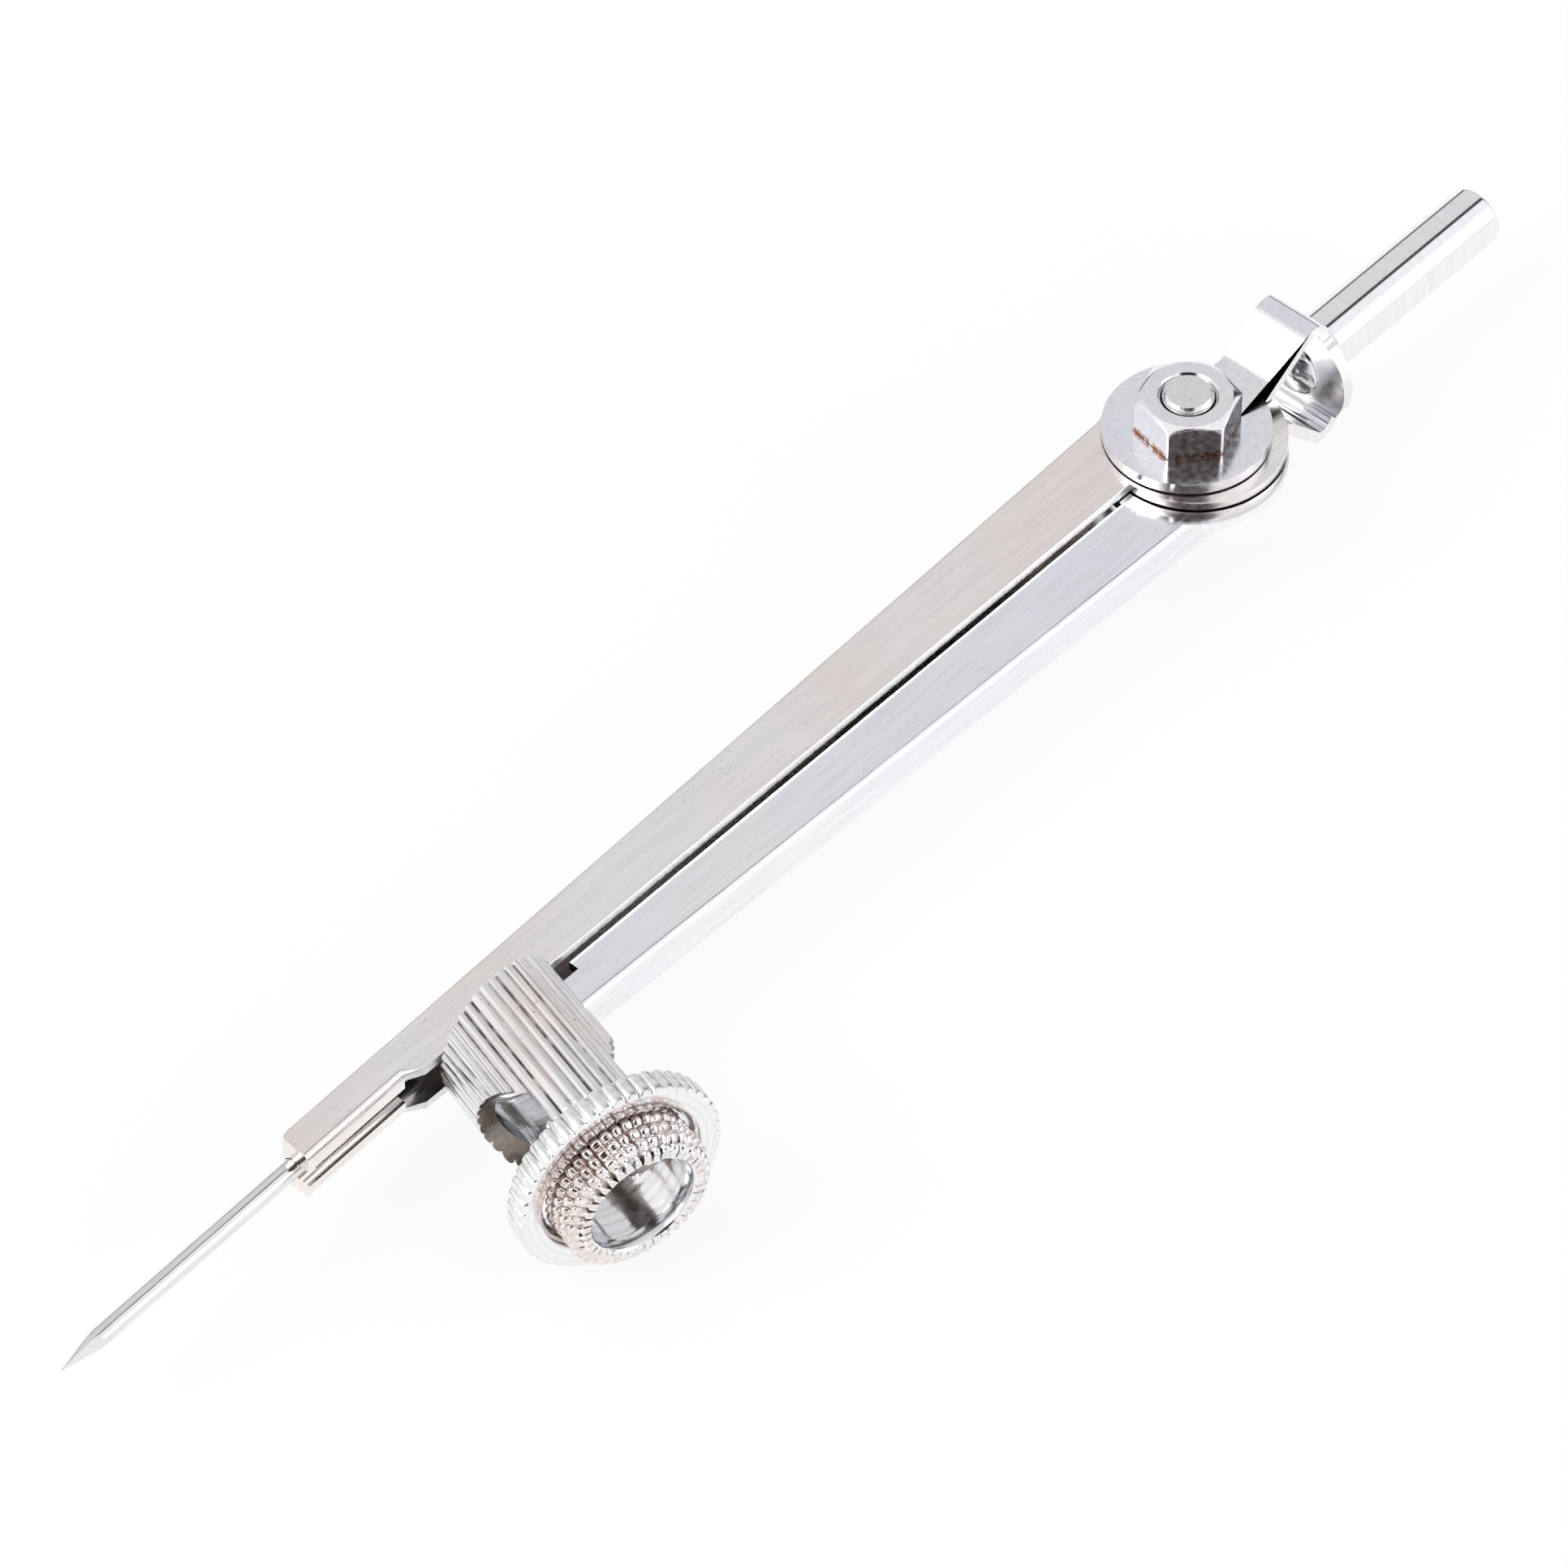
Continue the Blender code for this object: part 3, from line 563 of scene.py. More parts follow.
@dataclass(frozen=True)
class MetalFinish:
    """One metal surface: its two tints, fine lines, specks, painted shade in corners and gloss."""

    name: str
    colour: Triple
    cloud: Triple
    roughness: Pair
    grain: Grain = Grain.PLAIN
    stretch: Triple = (1.0, 1.0, 1.0)
    grain_scale: float = 1500.0
    grain_depth: float = 0.004 * MM
    grain_shade: float = 0.1
    cloud_scale: float = 90.0
    specks: float = 0.3
    speck_scale: float = 3500.0
    speck_colour: Triple = (0.16, 0.13, 0.12)
    dents: float = 0.0
    dent_scale: float = 900.0
    # Strength, reach and dark brown colour of painted shade, laid in corners and crevices by ambient occlusion.
    crevice_shade: float = 0.3
    crevice_shade_reach: float = 0.4 * MM
    crevice_shade_colour: Triple = (0.10, 0.06, 0.045)
    stain: float = 0.0
    stain_band: Pair = (0.0, 0.3 * MM)
    stain_colour: Triple = (0.42, 0.17, 0.07)

    def lines(self, bench: NodeBench, place: bpy.types.NodeSocket) -> bpy.types.NodeSocket:
        """Coordinates in which the noise turns into lines.

        Args:
            bench: Bench of the material.
            place: Coordinates of the object.

        Returns:
            The coordinates for the noise.
        """
        if self.grain is Grain.TURNED:
            parts = bench.add("ShaderNodeSeparateXYZ")
            bench.feed(parts.inputs[0], place)
            across = bench.math("POWER", parts.outputs["X"], 2.0)
            upward = bench.math("POWER", parts.outputs["Y"], 2.0)
            radius = bench.math("SQRT", bench.math("ADD", across, upward))
            joined = bench.add("ShaderNodeCombineXYZ")
            bench.feed(joined.inputs[0], radius)
            bench.feed(joined.inputs[2], parts.outputs["Z"])
            return joined.outputs[0]
        turn = bench.add("ShaderNodeMapping")
        bench.feed(turn.inputs["Vector"], place)
        turn.inputs["Scale"].default_value = self.stretch
        return turn.outputs[0]

    def make(self) -> bpy.types.Material:
        """Build the material.

        Returns:
            The material.
        """
        material = bpy.data.materials.new(self.name)
        material.use_nodes = True
        bench = NodeBench(material.node_tree)
        shader = material.node_tree.nodes["Principled BSDF"]
        place = bench.add("ShaderNodeTexCoord").outputs["Object"]

        clouds = bench.span(bench.noise(place, self.cloud_scale, 4.0), 0.35, 0.68)
        colour = bench.blend(clouds, self.colour, self.cloud)
        lines = bench.noise(self.lines(bench, place), self.grain_scale, 5.0)
        shaded = bench.blend(bench.span(lines, 0.35, 0.7, 0.0, self.grain_shade), colour, (0.25, 0.24, 0.25))
        specks = bench.span(bench.noise(place, self.speck_scale, 2.0), 0.66, 0.74, 0.0, self.specks)
        patchy = bench.math("MULTIPLY", specks, bench.span(bench.noise(place, self.cloud_scale * 4, 3.0), 0.45, 0.6))
        spotted = bench.blend(patchy, shaded, self.speck_colour)
        # Painted shade: ambient occlusion darkens corners and crevices towards a dark brown, broken up by noise.
        corner = bench.add("ShaderNodeAmbientOcclusion", samples=6)
        bench.feed(corner.inputs["Distance"], self.crevice_shade_reach)
        closed = bench.span(corner.outputs["AO"], 0.25, 0.75, self.crevice_shade, 0.0)
        ragged_crevice_shade = bench.math("MULTIPLY", closed, bench.span(bench.noise(place, 700.0, 4.0), 0.3, 0.6))
        crevice_shaded_colour = bench.blend(ragged_crevice_shade, spotted, self.crevice_shade_colour)
        if self.stain > 0:
            parts = bench.add("ShaderNodeSeparateXYZ")
            bench.feed(parts.inputs[0], place)
            low, high = self.stain_band
            soft = 0.25 * (high - low)
            rising = bench.span(parts.outputs["Z"], low - soft, low + soft)
            falling = bench.span(parts.outputs["Z"], high - soft, high + soft, 1.0, 0.0)
            flecks = bench.span(bench.noise(place, 2600.0, 3.0), 0.42, 0.56, 0.0, self.stain)
            band = bench.math("MULTIPLY", bench.math("MULTIPLY", rising, falling), flecks)
            crevice_shaded_colour = bench.blend(band, crevice_shaded_colour, self.stain_colour)
        bench.feed(shader.inputs["Base Color"], crevice_shaded_colour)

        gloss = bench.span(lines, 0.3, 0.75, *self.roughness)
        bench.feed(shader.inputs["Roughness"], bench.math("MAXIMUM", gloss, bench.math("MULTIPLY", patchy, 0.6)))
        shader.inputs["Metallic"].default_value = 1.0

        bump = bench.add("ShaderNodeBump")
        bench.feed(bump.inputs["Distance"], self.grain_depth)
        bench.feed(bump.inputs["Height"], lines)
        normal = bump.outputs[0]
        if self.dents > 0:
            dent = bench.add("ShaderNodeBump")
            bench.feed(dent.inputs["Distance"], self.dents)
            bench.feed(dent.inputs["Height"], bench.noise(place, self.dent_scale, 2.0))
            bench.feed(dent.inputs["Normal"], normal)
            normal = dent.outputs[0]
        bench.feed(shader.inputs["Normal"], normal)
        return material


NEEDLE_LEG_FINISH = MetalFinish(
    "warm_nickel_sheet",
    colour=(0.94, 0.87, 0.835),
    cloud=(0.95, 0.93, 0.91),
    roughness=(0.13, 0.25),
    grain=Grain.BRUSHED,
    stretch=(0.06, 1.0, 1.0),
    grain_scale=2600.0,
    cloud_scale=45.0,
    dents=0.05 * MM,
    dent_scale=120.0,
)
PENCIL_LEG_FINISH = MetalFinish(
    "cool_nickel_sheet",
    colour=(0.90, 0.92, 0.965),
    cloud=(0.95, 0.95, 0.96),
    roughness=(0.08, 0.2),
    grain=Grain.BRUSHED,
    stretch=(0.06, 1.0, 1.0),
    grain_scale=2600.0,
    cloud_scale=50.0,
    dents=0.05 * MM,
    dent_scale=140.0,
)
SHEARED_FINISH = MetalFinish(
    "sheared_sheet_edge",
    colour=(0.95, 0.945, 0.94),
    cloud=(0.88, 0.87, 0.87),
    roughness=(0.38, 0.55),
    grain_scale=2400.0,
    grain_depth=0.02 * MM,
    # Painted shade in corners, from ambient occlusion, kept faint here.
    crevice_shade=0.1,
)
YOKE_FINISH = MetalFinish(
    "pressed_nickel_sheet",
    colour=(0.89, 0.89, 0.955),
    cloud=(0.93, 0.92, 0.93),
    roughness=(0.13, 0.24),
    grain_scale=1800.0,
    specks=0.5,
    speck_scale=5200.0,
    cloud_scale=140.0,
    dents=0.05 * MM,
    dent_scale=170.0,
)
BARREL_FINISH = MetalFinish(
    "fluted_turned_nickel",
    colour=(0.92, 0.915, 0.94),
    cloud=(0.95, 0.885, 0.85),
    roughness=(0.06, 0.18),
    grain=Grain.BRUSHED,
    stretch=(1.0, 1.0, 0.05),
    grain_scale=3200.0,
    grain_shade=0.3,
    cloud_scale=110.0,
    specks=0.7,
    # Painted shade in the flutes and thread, from ambient occlusion.
    crevice_shade=0.6,
    crevice_shade_reach=0.4 * MM,
    stain=0.4,
    stain_band=(13.0 * MM, 18.4 * MM),
)
# Painted shade: a dark brown colour for the walls of the pencil's cross hole, where shade falls inside it.
HOLE_SHADE_FINISH = MetalFinish(
    "drilled_hole_painted_shade",
    colour=(0.25, 0.20, 0.165),
    cloud=(0.40, 0.37, 0.35),
    roughness=(0.22, 0.42),
    grain_scale=2600.0,
    grain_depth=0.02 * MM,
    grain_shade=0.45,
    specks=0.7,
    # Painted shade in corners, from ambient occlusion, reaching far.
    crevice_shade=0.6,
    crevice_shade_reach=1.0 * MM,
)
BORE_FINISH = MetalFinish(
    "bored_nickel",
    colour=(0.90, 0.90, 0.92),
    cloud=(0.82, 0.82, 0.84),
    roughness=(0.07, 0.2),
    grain=Grain.TURNED,
    grain_scale=2200.0,
    grain_shade=0.3,
    # Painted shade in the bore's corners, from ambient occlusion.
    crevice_shade=0.35,
)
RING_NUT_FINISH = MetalFinish(
    "toothed_turned_nickel",
    colour=(0.93, 0.93, 0.95),
    cloud=(0.95, 0.94, 0.94),
    roughness=(0.12, 0.26),
    grain=Grain.TURNED,
    grain_scale=2400.0,
    grain_depth=0.006 * MM,
    grain_shade=0.16,
    specks=0.4,
    # Painted shade between the teeth, from ambient occlusion.
    crevice_shade=0.45,
)
WASHER_FINISH = MetalFinish(
    "plain_steel_ring",
    colour=(0.78, 0.78, 0.79),
    cloud=(0.84, 0.82, 0.80),
    roughness=(0.16, 0.3),
    grain=Grain.TURNED,
    grain_scale=3000.0,
)
ROD_FINISH = MetalFinish(
    "polished_nickel_rod",
    colour=(0.93, 0.93, 0.95),
    cloud=(0.94, 0.92, 0.91),
    roughness=(0.04, 0.11),
    grain=Grain.TURNED,
    grain_scale=2200.0,
    grain_depth=0.002 * MM,
    cloud_scale=80.0,
)
NUT_FINISH = MetalFinish(
    "plated_nut_steel",
    colour=(0.88, 0.88, 0.92),
    cloud=(0.93, 0.92, 0.92),
    roughness=(0.05, 0.13),
    grain_scale=2500.0,
    specks=0.5,
    # Painted shade in the nut's corners, from ambient occlusion, in a rust brown.
    crevice_shade=0.5,
    crevice_shade_reach=0.35 * MM,
    crevice_shade_colour=(0.22, 0.09, 0.05),
    stain=0.9,
    stain_band=(-0.1 * MM, 0.42 * MM),
    dents=0.02 * MM,
)
BOLT_FINISH = MetalFinish(
    "marred_bolt_steel",
    colour=(0.90, 0.90, 0.91),
    cloud=(0.80, 0.79, 0.79),
    roughness=(0.12, 0.26),
    grain_scale=2600.0,
    grain_depth=0.008 * MM,
    specks=0.5,
    dents=0.06 * MM,
    dent_scale=1100.0,
)
POINT_FINISH = MetalFinish(
    "drawn_needle_steel",
    colour=(0.84, 0.84, 0.85),
    cloud=(0.88, 0.87, 0.86),
    roughness=(0.06, 0.16),
    grain=Grain.BRUSHED,
    stretch=(1.0, 1.0, 0.03),
    grain_scale=5000.0,
    cloud_scale=200.0,
)


def painted(item: bpy.types.Object, *finishes: MetalFinish) -> bpy.types.Object:
    """Give an object its finishes, one slot for each.

    Args:
        item: The object.
        *finishes: The finishes in the order of their slots.

    Returns:
        The same object.
    """
    for finish in finishes:
        material = bpy.data.materials.get(finish.name) or finish.make()
        item.data.materials.append(material)
    return item


def paint_cut_edges(item: bpy.types.Object, is_edge: Callable[[Vector, Vector], bool]) -> bpy.types.Object:
    """Give the second finish to the faces where the sheet was cut.

    Args:
        item: The object.
        is_edge: Says from a face's middle and normal whether it is a cut edge.

    Returns:
        The same object.
    """
    for face in item.data.polygons:
        if is_edge(face.center, face.normal):
            face.material_index = 1
    return item


def dress(item: bpy.types.Object, body: Body, node: str) -> bpy.types.Object:
    """Give a piece its body and the node that it takes the place of.

    Args:
        item: The piece.
        body: Body that it rides on.
        node: Node of the frame that it replaces.

    Returns:
        The piece.
    """
    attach(item, body.value)
    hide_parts(node)
    LOG.info("%s: %d faces on %s", item.name, len(item.data.polygons), body.value)
    return item


@dataclass(frozen=True)
class PivotStack:
    """Heights and sizes shared by the sheets, the bolt and the nut on the pivot."""

    bolt_radius: float = 1.95 * MM
    hole_radius: float = 2.03 * MM
    lower_eye: float = 2.85 * MM
    pencil_ear: float = 3.9 * MM
    pencil_top: float = 4.65 * MM
    needle_ear: float = 4.8 * MM
    needle_top: float = 5.55 * MM
    upper_eye: float = 5.7 * MM
    nut_seat: float = 6.65 * MM
    bolt_top: float = 9.95 * MM
    leg_sheet: float = 0.75 * MM
    pencil_sweep: float = 8.5 * MM
    eye_sweep: float = 6.45 * MM
    overrun: float = 1.0 * MM

    def hole(self) -> bpy.types.Object:
        """Cutter for the pivot hole through every sheet."""
        return lathe(
            "pivot_hole",
            [(0, 0), (self.hole_radius, 0), (self.hole_radius, self.bolt_top), (0, self.bolt_top)],
            steps=96,
        )


@dataclass(frozen=True)
class FoldedLeg:
    """Sizes that both folded legs share, and the way they are folded."""

    stack: PivotStack
    fold: float = 0.6 * MM
    fold_steps: int = 10

    def bar(
        self, name: str, stations: Sequence[tuple[float, float, float, float]], low: float, high: float, side: int
    ) -> bpy.types.Object:
        """Bar along X with two rounded folds on its outer side.

        Args:
            name: Name of the bar.
            stations: For each place along it, the place, its inner and outer edge and its inner rounding.
            low: Height of its underside.
            high: Height of its top.
            side: Sign of its outer side along Y.

        Returns:
            The bar.
        """
        rings = []
        for x, inner, outer, lip in stations:
            corner = outer - side * self.fold
            inside = inner + side * lip
            ring = [(inside - side * y, z) for y, z in arc((0, low + lip), lip, 0, -math.pi / 2, self.fold_steps)]
            ring += [
                (corner + side * y, z)
                for y, z in arc((0, low + self.fold), self.fold, -math.pi / 2, 0, self.fold_steps)
            ]
            ring += [
                (corner + side * y, z)
                for y, z in arc((0, high - self.fold), self.fold, 0, math.pi / 2, self.fold_steps)
            ]
            ring += [(inside - side * y, z) for y, z in arc((0, high - lip), lip, math.pi / 2, 0, self.fold_steps)]
            rings.append([(x, y, z) for y, z in ring])
        return loft(name, rings)


@dataclass(frozen=True)
class NeedleArm:
    """Folded needle leg with its ear and crimp, and the steel point held in it."""

    stack: PivotStack
    folds: FoldedLeg
    length: float = 92.2 * MM
    height: float = 4.4 * MM
    inner_edge: float = -0.22 * MM
    outer_root: float = 5.99 * MM
    outer_end: float = 3.21 * MM
    end_corner: float = 0.9 * MM
    ear_radius: float = 6.9 * MM
    ear_centre: Pair = (0.3 * MM, -0.45 * MM)
    crimp_length: float = 9.8 * MM
    crimp_step: float = 1.4 * MM
    top_lip: float = 1.55 * MM
    bottom_lip: float = 1.35 * MM
    lip_round: float = 0.62 * MM
    sharp_lip: float = 0.06 * MM
    end_wall: float = 1.5 * MM
    seam_facing: float = -0.9
    seam_reach: float = 0.2 * MM
    seam_start: float = -7 * MM
    point_radius: float = 0.725 * MM
    point_room: float = 0.05 * MM
    point_held: float = 12.6 * MM
    point_out: float = 23.1 * MM
    point_taper: float = 3.4 * MM
    tip_radius: float = 0.05 * MM

    @property
    def lean(self) -> float:
        """Angle at which the outer edge leans in towards the point."""
        return math.atan2(self.outer_root - self.outer_end, self.length)

    @property
    def crimp_hollow(self) -> float:
        """Width of the hollow that holds the point."""
        return 2 * (self.point_radius + self.point_room)

    def outer(self, x: float) -> float:
        """Outer edge at a place along the leg."""
        return self.outer_root + x * math.tan(self.lean)

    def build_leg(self) -> bpy.types.Object:
        """Fold the leg, with its ear, its open hollow and the slit of its crimp.

        Returns:
            The leg.
        """
        stack = self.stack
        sheet = stack.leg_sheet
        top = stack.needle_top
        low = top - self.height
        end = -self.length
        crimp = end + self.crimp_length
        crimp_width = self.crimp_hollow + 2 * sheet
        stations = [
            (0, self.inner_edge, self.outer(0), self.sharp_lip),
            (crimp + self.crimp_step, self.inner_edge, self.outer(crimp + self.crimp_step), self.sharp_lip),
            (crimp, self.outer(crimp) - crimp_width, self.outer(crimp), self.lip_round),
        ]
        for across, back in arc((0, 0), self.end_corner, 0, math.pi / 2, 10):
            x = end + self.end_corner - back
            stations.append((x, self.outer(x) - crimp_width, self.outer(x) - self.end_corner + across, self.lip_round))
        leg = self.folds.bar("folded_needle_leg", stations, low, top, 1)
        painted(leg, NEEDLE_LEG_FINISH, SHEARED_FINISH)
        ear = plate("needle_ear", circle(self.ear_centre, self.ear_radius), stack.needle_ear, top)
        combine(leg, "UNION", ear)

        side = self.inner_edge - self.ear_radius
        reach = stack.pencil_sweep
        past = end - stack.overrun
        wall = end + self.end_wall
        hollow = [
            (reach, self.outer(reach) - sheet),
            (wall, self.outer(wall) - sheet),
            (wall, self.outer(wall) - sheet - self.crimp_hollow),
            (crimp, self.outer(crimp) - sheet - self.crimp_hollow),
            (crimp, side),
            (reach, side),
        ]
        inside = plate("needle_leg_hollow", hollow, low + sheet, top - sheet)
        slit = block(
            "needle_leg_slit",
            (past, side, low + self.bottom_lip),
            (crimp + stack.overrun, self.outer(end) - sheet - self.crimp_hollow / 2, top - self.top_lip),
        )
        step = stack.pencil_ear - 0.2 * MM
        sweep = lathe(
            "needle_leg_sweep",
            [
                (0, low - stack.overrun),
                (stack.eye_sweep, low - stack.overrun),
                (stack.eye_sweep, step),
                (stack.pencil_sweep, step),
                (stack.pencil_sweep, stack.needle_ear),
                (0, stack.needle_ear),
            ],
        )
        room = self.point_radius + self.point_room
        seat = lathe(
            "needle_leg_point_hole",
            [(0, 0), (room, 0), (room, self.crimp_length), (0, self.crimp_length)],
            self.point_frame(self.crimp_length / 2),
            steps=48,
        )
        combine(leg, "DIFFERENCE", inside, slit, seat, sweep, stack.hole())
        paint_cut_edges(
            leg,
            lambda middle, normal: normal.y < self.seam_facing
            and middle.y < self.seam_reach
            and middle.x < self.seam_start,
        )
        return soften(leg, 0.1 * MM)

    def point_frame(self, back: float) -> Matrix:
        """Frame on the point's axis, a distance back from the leg's end, with Z along the point."""
        way = Vector((-math.cos(self.lean), -math.sin(self.lean), 0))
        middle = self.outer(-self.length) - self.stack.leg_sheet - self.crimp_hollow / 2
        mouth = Vector((-self.length, middle, self.stack.needle_top - self.height / 2))
        return frame_at(mouth - way * back, way)

    def build_point(self) -> bpy.types.Object:
        """Turn the steel point, parallel to the leg's outer wall.

        Returns:
            The point.
        """
        length = self.point_held + self.point_out
        shoulder = length - self.point_taper
        profile = [(0, 0), (self.point_radius, 0), (self.point_radius, shoulder - 0.3 * MM)]
        taper = [(0.965, 0.0), (0.86, 0.14), (0.6, 0.42), (0.3, 0.72), (0.12, 0.9)]
        profile += [(self.point_radius * share, shoulder + self.point_taper * run) for share, run in taper]
        profile += [(self.tip_radius, length - 0.03 * MM), (0, length)]
        item = lathe("steel_point", profile, self.point_frame(self.point_held), steps=64)
        return soften(painted(item, POINT_FINISH), 0)

    def build(self) -> list[bpy.types.Object]:
        """Build and dress both pieces.

        Returns:
            The pieces.
        """
        return [
            dress(self.build_leg(), Body.NEEDLE, "needle_leg"),
            dress(self.build_point(), Body.NEEDLE, "needle"),
        ]


@dataclass(frozen=True)
class ClampFrame:
    """Where the clamp stands and how its axis runs."""

    place: float = 74.2 * MM
    start_y: float = -0.52 * MM
    height: float = 4.35 * MM
    slant: float = math.radians(15.5)

    @property
    def start(self) -> Vector:
        """Point on the axis beside the needle leg."""
        return Vector((-self.place, self.start_y, self.height))

    @property
    def axis(self) -> Vector:
        """Direction from the legs to the clamp's mouth."""
        return Vector((-math.sin(self.slant), -math.cos(self.slant), 0))

    @property
    def pencil_axis(self) -> Vector:
        """Direction of the hole that takes the pencil."""
        return Vector((-math.cos(self.slant), math.sin(self.slant), 0))

    def at(self, distance: float) -> Matrix:
        """Frame on the axis, with its Z axis along it."""
        return frame_at(self.start + self.axis * distance, self.axis)


@dataclass(frozen=True)
class PencilArm:
    """Folded pencil leg with its ear, and the fluted barrel of the clamp."""

    stack: PivotStack
    folds: FoldedLeg
    clamp: ClampFrame
    height: float = 3.4 * MM
    outer_root: float = -5.68 * MM
    taper_share: float = 0.0228
    ear_radius: float = 7.3 * MM
    ear_centre: Pair = (-0.6 * MM, -0.8 * MM)
    notch_length: float = 1.3 * MM
    notch_width: float = 0.9 * MM
    sharp_lip: float = 0.06 * MM
    ear_recess: float = 0.3 * MM
    recess_centre: Pair = (0.3 * MM, -0.45 * MM)
    recess_radius: float = 7.0 * MM
    barrel_length: float = 19.2 * MM
    root_radius: float = 5.45 * MM
    mouth_radius: float = 5.8 * MM
    flutes: int = 40
    flute_depth: float = 0.28 * MM
    flute_samples: int = 12
    flute_tilt: float = 0.16 * MM
    bore_radius: float = 4.05 * MM
    bore_floor: float = 3.0 * MM
    mouth_chamfer: float = 0.6 * MM
    hole_radius: float = 4.6 * MM
    hole_place: float = 11.0 * MM
    thread_start: float = 12.7 * MM
    thread_pitch: float = 1.0 * MM
    thread_depth: float = 0.3 * MM

    def outer(self, x: float) -> float:
        """Outer edge of the leg at a place along it."""
        return self.outer_root - x * self.taper_share

    def build_leg(self) -> bpy.types.Object:
        """Fold the leg, with its ear and the seat of the barrel.

        Returns:
            The leg.
        """
        stack = self.stack
        clamp = self.clamp
        sheet = stack.leg_sheet
        top = stack.pencil_top
        low = top - self.height
        end = -clamp.place
        stations = [(x, clamp.start_y, self.outer(x), self.sharp_lip) for x in (0, end)]
        leg = self.folds.bar("folded_pencil_leg", stations, low, top, -1)
        painted(leg, PENCIL_LEG_FINISH, SHEARED_FINISH)
        ear = plate("pencil_ear", circle(self.ear_centre, self.ear_radius), stack.pencil_ear, top)
        combine(leg, "UNION", ear)

        reach = stack.pencil_sweep
        past = end - stack.overrun
        hollow = [
            (reach, self.outer(reach) + sheet),
            (reach, reach),
            (past, reach),
            (past, self.outer(past) + sheet),
        ]
        inside = plate("pencil_leg_hollow", hollow, low + sheet, top - sheet)
        sweep = lathe(
            "pencil_leg_sweep",
            [
                (0, low - stack.overrun),
                (stack.eye_sweep, low - stack.overrun),
                (stack.eye_sweep, stack.pencil_ear),
                (0, stack.pencil_ear),
            ],
        )
        seat_radius = self.mouth_radius + 0.05 * MM
        seat_length = self.barrel_length
        seat = lathe(
            "barrel_seat",
            [(0, 0), (seat_radius, 0), (seat_radius, seat_length), (0, seat_length)],
            clamp.at(-seat_length / 2),
        )
        side_x = end + self.mouth_radius / math.cos(clamp.slant)
        notch = block(
            "pencil_leg_notch",
            (end, clamp.start_y - self.notch_width, top - self.height / 2),
            (side_x + self.notch_length, clamp.start_y + stack.overrun, top + stack.overrun),
        )
        dimple_x = side_x + 1.7 * MM
        dimple = lathe(
            "pencil_leg_dimple",
            [(0, -0.12 * MM), (0.3 * MM, 0.1 * MM), (0, 0.1 * MM)],
            frame_at((dimple_x, self.outer(dimple_x), top - 1.5 * MM), (0, -1, 0)),
            steps=24,
        )
        recess = plate(
            "pencil_ear_recess",
            circle(self.recess_centre, self.recess_radius),
            top - self.ear_recess,
            top + stack.overrun,
        )
        combine(leg, "DIFFERENCE", inside, sweep, stack.hole(), seat, notch, dimple, recess)
        return soften(leg, 0.1 * MM)

    def barrel_radius(self, distance: float, turn: float) -> float:
        """Radius of the barrel's skin, with its flutes and the thread cut over them.

        Args:
            distance: Distance along the axis.
            turn: Angle round the axis, from 0 to 1.

        Returns:
            The radius.
        """
        edge = self.barrel_length - self.mouth_chamfer
        share = max(0.0, min(1.0, distance / edge))
        radius = self.root_radius + (self.mouth_radius - self.root_radius) * share
        place = turn * self.flutes
        number = math.floor(place)
        across = abs(2 * (place - number) - 1)
        depth = self.flute_depth * (1 + 0.35 * uneven(number, 0.3))
        if distance > edge:
            depth *= 1 + 3.2 * (distance - edge) / self.mouth_chamfer
        radius -= depth * across ** (3.5 + 1.5 * uneven(number, 0.7)) + 0.03 * MM * (1 + uneven(number, 1.9))
        radius += self.flute_tilt * uneven(number, 4.4) * (place - number - 0.5) * (1 - across**2)
        if distance > self.thread_start:
            wave = 0.5 - 0.5 * math.cos(2 * math.pi * (distance / self.thread_pitch - turn))
            fade = min(1.0, (distance - self.thread_start) / self.thread_pitch)
            radius -= self.thread_depth * fade * wave**1.6
        if distance > edge:
            radius -= distance - edge
        return radius

    def build_barrel(self) -> bpy.types.Object:
        """Build the fluted barrel with its threaded mouth, blind bore and cross hole.

        Returns:
            The barrel.
        """
        clamp = self.clamp
        root_run = self.mouth_radius * math.tan(clamp.slant) + self.stack.overrun
        places = [-root_run, 0.0, self.thread_start / 2, self.thread_start - 0.01 * MM]
        count = round((self.barrel_length - self.thread_start) / (0.1 * MM))
        places += [self.thread_start + (self.barrel_length - self.thread_start) * i / count for i in range(count + 1)]
        samples = self.flutes * self.flute_samples
        rings = []
        for place in places:
            ring = []
            for i in range(samples):
                radius = self.barrel_radius(place, i / samples)
                angle = 2 * math.pi * i / samples
                ring.append((radius * math.cos(angle), radius * math.sin(angle), place))
            rings.append(ring)
        barrel = painted(loft("fluted_clamp_barrel", rings, clamp.at(0)), BARREL_FINISH)

